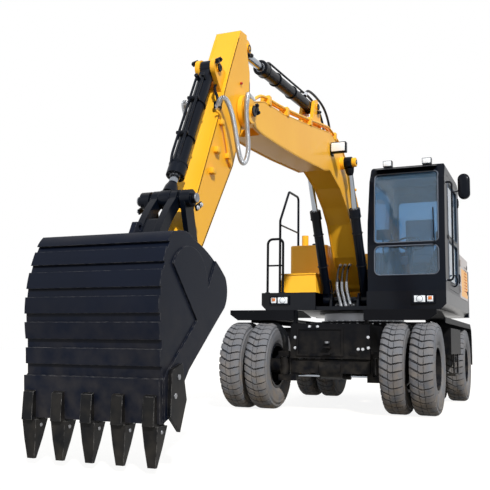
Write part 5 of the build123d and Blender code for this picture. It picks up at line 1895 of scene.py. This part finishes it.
    def arm_pipes(self) -> None:
        """Black elbows, pipes in brackets and pads on the arm."""
        stock = Stock("arm_pipes", YELLOW)
        for sign in (-1, 1):
            face = BOOM_Y + sign * self.arm_half
            y = face + sign * 0.020
            for x, z in ((4.965, 2.585), (4.830, 2.330)):
                span = sorted((face - sign * 0.002, y + sign * 0.014))
                stock.block((x - 0.028, span[0], z - 0.022), (x + 0.028, span[1], z + 0.022), 0.004)
            stock.pipe(
                [
                    (5.045, face, 2.665), (5.025, y, 2.650), (4.990, y, 2.620), (4.890, y, 2.470), (4.820, y, 2.295),
                    (4.790, y, 2.270), (4.750, face, 2.262),
                ],
                0.010,
            )
            for x, z in ((5.045, 2.330), (5.125, 2.137)):
                span = sorted((face - sign * 0.002, face + sign * 0.036))
                stock.block((x - 0.034, span[0], z - 0.024), (x + 0.034, span[1], z + 0.024), 0.005)
        stock.use(BLACK)
        for sign in (-1, 1):
            y = BOOM_Y + sign * 0.105
            stock.block((4.955, y - 0.028, 2.70), (5.012, y + 0.028, 2.76), 0.008)
            stock.pipe(
                [
                    (4.985, y, 2.755), (4.990, y, 2.80), (4.975, y - sign * 0.03, 2.85),
                    (4.965, y - sign * 0.045, 2.90), (4.93, y - sign * 0.045, 2.93),
                ],
                0.012,
            )
        stock.ship("arm")

    def lift_caps(self) -> None:
        """Yellow ends of the boom's cross tube outside the lift rods' eyes."""
        stock = Stock("lift_caps", YELLOW)
        for sign in (-1, 1):
            face = Vector((LIFT_HEAD[0], BOOM_Y + sign * (LIFT_SPREAD + 0.048), LIFT_HEAD[1]))
            stock.lathe([(0, 0.060), (0.045, 0.060), (0.052, 0.052)], face, (0, sign, 0), 28)
            stock.use(BLACK)
            stock.lathe([(0.05, 0.030), (0.056, 0.028), (0.058, 0.020)], face, (0, sign, 0), 20)
            stock.use(YELLOW)
            BOLTS.put("boom", face + sign * 0.058 * ACROSS, (0, sign, 0), 0.010)
        stock.ship("boom")

    def rods(self) -> None:
        """Black eyes on the chromed rods, and the glands' collars, wipers and bolts."""
        lift = (LIFT_FOOT, LIFT_HEAD)
        table = (
            # rod body, cylinder body, foot, head, across, eye radius, rod radius, gland radius, cylinder length
            ("boom_rod_left", "boom_cylinder_left", *lift, BOOM_Y + LIFT_SPREAD, 0.072, 0.037, 0.073, 1.283),
            ("boom_rod_right", "boom_cylinder_right", *lift, BOOM_Y - LIFT_SPREAD, 0.072, 0.037, 0.073, 1.283),
            ("arm_rod", "arm_cylinder", STICK_FOOT, STICK_HEAD, BOOM_Y, 0.072, 0.040, 0.077, 1.626),
            ("bucket_rod", "bucket_cylinder", CURL_FOOT, LINK_TOP, BOOM_Y, 0.070, 0.035, 0.072, 1.176),
        )
        for rod, tube, foot, head, y, eye, thick, gland, length in table:
            start, end = Vector((foot[0], y, foot[1])), Vector((head[0], y, head[1]))
            way = (end - start).normalized()
            stock = Stock(rod + "_eye", BLACK)
            stock.lathe(
                [(-0.0465, eye - 0.006), (-0.0465, eye + 0.0005), (-0.040, eye + 0.003), (0.040, eye + 0.003),
                 (0.0465, eye + 0.0005), (0.0465, eye - 0.006)],
                end, (0, 1, 0), 32,
            )
            neck = [(0, eye * 0.86), (0.06, thick + 0.016), (0.09, thick + 0.004), (0.1, thick + 0.001)]
            stock.lathe(neck, end - way * (eye - 0.012), -way)
            stock.ship(rod)
            BOLTS.ring(tube, start + way * length, way, (gland + thick) / 2 + 0.002, 8, 0.009, BLACK)
            collar = Stock(tube + "_gland", BLACK)
            near = start + way * (length - 0.112)
            collar.lathe(
                [(-0.004, gland - 0.012), (-0.004, gland + 0.003), (0.012, gland + 0.003), (0.012, gland - 0.012)],
                near, way, 32, closed=True,
            )
            wiper = start + way * (length - 0.002)
            collar.use(STEEL)
            collar.lathe(
                [(0, thick + 0.0012), (0, thick + 0.009), (0.008, thick + 0.006), (0.008, thick + 0.0012)],
                wiper, way, 28, closed=True,
            )
            collar.ship(tube)

    def cylinder_lines(self) -> None:
        """Steel lines, port blocks and bands along the cylinders."""
        lift = {
            "foot": LIFT_FOOT, "head": LIFT_HEAD, "run": (0.26, 0.36, 1.05, 1.17, 1.22), "out": 0.082,
            "port": (0.17, 0.052, 0.090, 0.018), "bands": (0.5, 0.95), "band_radius": 0.067,
        }
        for lines in (
            CylinderLines(
                "bucket_cylinder", "bucket_cylinder_lines", foot=CURL_FOOT, head=LINK_TOP, sides=(-0.03, 0.03),
                run=(0.20, 0.30, 0.90, 1.06, 1.10), out=0.085, port=(0.17, 0.050, 0.105, 0.020),
                bands=(0.42, 0.80), band_radius=0.066, clamp=0.016,
            ),
            CylinderLines(
                "arm_cylinder", "arm_cylinder_lines", foot=STICK_FOOT, head=STICK_HEAD, sides=(-0.04, 0.04),
                run=(0.36, 0.50, 1.40, 1.52, 1.56), out=0.085, port=(0.31, 0.050, 0.078, 0.020),
                bands=(0.70, 1.20), band_radius=0.071,
            ),
            CylinderLines("boom_cylinder_left", "lift_cylinder_lines_left", sides=(LIFT_SPREAD,), **lift),
            CylinderLines("boom_cylinder_right", "lift_cylinder_lines_right", sides=(-LIFT_SPREAD,), **lift),
        ):
            lines.build()

    def bucket_parts(self) -> None:
        """Pins of the teeth, bolts of the side cutters, and grease nipples."""
        stock = Stock("bucket_details", STEEL)
        for step in range(-2, 3):
            y = BOOM_Y + step * 0.215
            stock.rod((6.468, y - 0.0535, 0.245), (6.468, y + 0.0535, 0.245), 0.012, 12, 0.002)
        stock.use(BUCKET_BLACK)
        for y in (BOOM_Y - 0.5105, BOOM_Y + 0.5105):
            for x, z in ((6.35, 0.56), (6.39, 0.45)):
                BOLTS.put("bucket", (x, y, z), (0, 1 if y > BOOM_Y else -1, 0), 0.018, STEEL)
        stock.use(AMBER)
        out = 0.24
        for x, z in (LINK_FOOT, BUCKET_PIVOT):
            for sign in (-1, 1):
                near, far = BOOM_Y + sign * (out - 0.003), BOOM_Y + sign * (out + 0.006)
                stock.rod((x, near, z), (x, far, z), 0.012, 12, 0.001)
        stock.ship("bucket")
        nipple = Stock("arm_nipple", RED_CAP)
        face = BOOM_Y + self.arm_half
        nipple.rod((4.548, face - 0.002, 3.066), (4.548, face + 0.02, 3.066), 0.012, 12)
        nipple.ship("arm")


# ---------------------------------------------------------------- studio


@dataclass
class Lamp:
    """A far lamp: its strength, how soft it is in degrees, and the way it shines."""

    name: str
    power: float
    softness: float
    aim: Place


@dataclass
class Studio:
    """Floor, lights and the camera at the photograph's place."""

    eye: Place = (10.3767, 2.5072, 0.7425)
    yaw: float = 202.7367
    pitch: float = 7.8448
    roll: float = 0.7874
    focal: float = 742.27
    picture_width: float = 490.0
    sensor: float = 36.0
    reach: float = 60.0
    floor_colour: str = "6f685c"
    floor_glow: float = 0.88
    sky_colour: str = "cfdff4"
    sky_strength: float = 0.55
    lamps: Sequence[Lamp] = field(
        default_factory=lambda: (
            Lamp("key", 3.8, 3.0, (-0.70, -0.50, -0.62)),
            Lamp("fill", 0.25, 40.0, (-0.8, 0.5, -0.25)),
        )
    )

    def camera(self) -> None:
        """Sets the camera from its solved place, direction and focal length in pixels."""
        lens = bpy.data.cameras.new("camera")
        lens.sensor_width = self.sensor
        lens.lens = self.focal / self.picture_width * self.sensor
        lens.clip_end = 200.0
        eye = bpy.data.objects.new("camera", lens)
        bpy.context.scene.collection.objects.link(eye)
        yaw, pitch, roll = radians(self.yaw), radians(self.pitch), radians(self.roll)
        ahead = Vector((cos(pitch) * cos(yaw), cos(pitch) * sin(yaw), sin(pitch)))
        right = ahead.cross(Vector((0, 0, 1))).normalized()
        up = right.cross(ahead)
        across = cos(roll) * right + sin(roll) * up
        rise = cos(roll) * up - sin(roll) * right
        turn = Matrix((across, rise, -ahead)).transposed()
        eye.matrix_world = Matrix.Translation(SLEW + Vector(self.eye)) @ turn.to_4x4()
        bpy.context.scene.camera = eye

    def floor(self) -> None:
        """A pale floor that looks white to the camera and keeps the shadow."""
        mesh = bpy.data.meshes.new("floor")
        far = self.reach
        mesh.from_pydata([(-far, -far, 0), (far, -far, 0), (far, far, 0), (-far, far, 0)], [], [(0, 1, 2, 3)])
        ground = show("floor", mesh)
        pale = bpy.data.materials.new("pale floor")
        pale.use_nodes = True
        web = Web(pale)
        web.shader.inputs["Base Color"].default_value = linear(self.floor_colour)
        web.shader.inputs["Roughness"].default_value = 0.9
        web.shader.inputs["Emission Color"].default_value = (1.0, 1.0, 1.0, 1.0)
        web.join(web.multiply(web.background(), self.floor_glow), web.shader.inputs["Emission Strength"])
        mesh.materials.append(pale)

    def sky(self) -> None:
        """A plain soft sky that lights the object coolly and shows as white."""
        world = bpy.data.worlds.new("studio")
        bpy.context.scene.world = world
        world.use_nodes = True
        web = Web(world)
        lit = web.nodes["Background"]
        lit.inputs["Color"].default_value = linear(self.sky_colour)
        lit.inputs["Strength"].default_value = self.sky_strength
        white = web.add("ShaderNodeBackground")
        white.inputs["Color"].default_value = (1.0, 1.0, 1.0, 1.0)
        white.inputs["Strength"].default_value = 1.0
        choice = web.add("ShaderNodeMixShader")
        for index, source in enumerate((web.background(), lit.outputs[0], white.outputs[0])):
            web.join(source, choice.inputs[index])
        web.join(choice.outputs[0], web.nodes["World Output"].inputs["Surface"])

    def lights(self) -> None:
        """A soft sun from the machine's front left, as in the photograph, and one weak fill from the right."""
        for row in self.lamps:
            lamp = bpy.data.lights.new(row.name, "SUN")
            lamp.energy = row.power
            lamp.angle = radians(row.softness)
            holder = bpy.data.objects.new(row.name, lamp)
            holder.rotation_mode = "QUATERNION"
            holder.rotation_quaternion = Vector(row.aim).to_track_quat("-Z", "Y")
            bpy.context.scene.collection.objects.link(holder)

    def build(self) -> None:
        """Builds the floor, the sky and the lights."""
        self.floor()
        self.sky()
        self.lights()
        bpy.context.scene.view_settings.view_transform = "Standard"
        LOG.info("studio")


def main() -> None:
    """Builds the scene."""
    logging.basicConfig(level=logging.INFO)
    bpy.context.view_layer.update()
    studio = Studio()
    studio.camera()
    for hose in hoses():
        hose.build()
    for group in (Tyres(), Undercarriage(), UpperStructure(), Cab(), WorkingArm(), BOLTS, studio):
        group.build()
        LOG.info("%s done", type(group).__name__)
    dress_nodes()


if __name__ == "__main__":
    main()
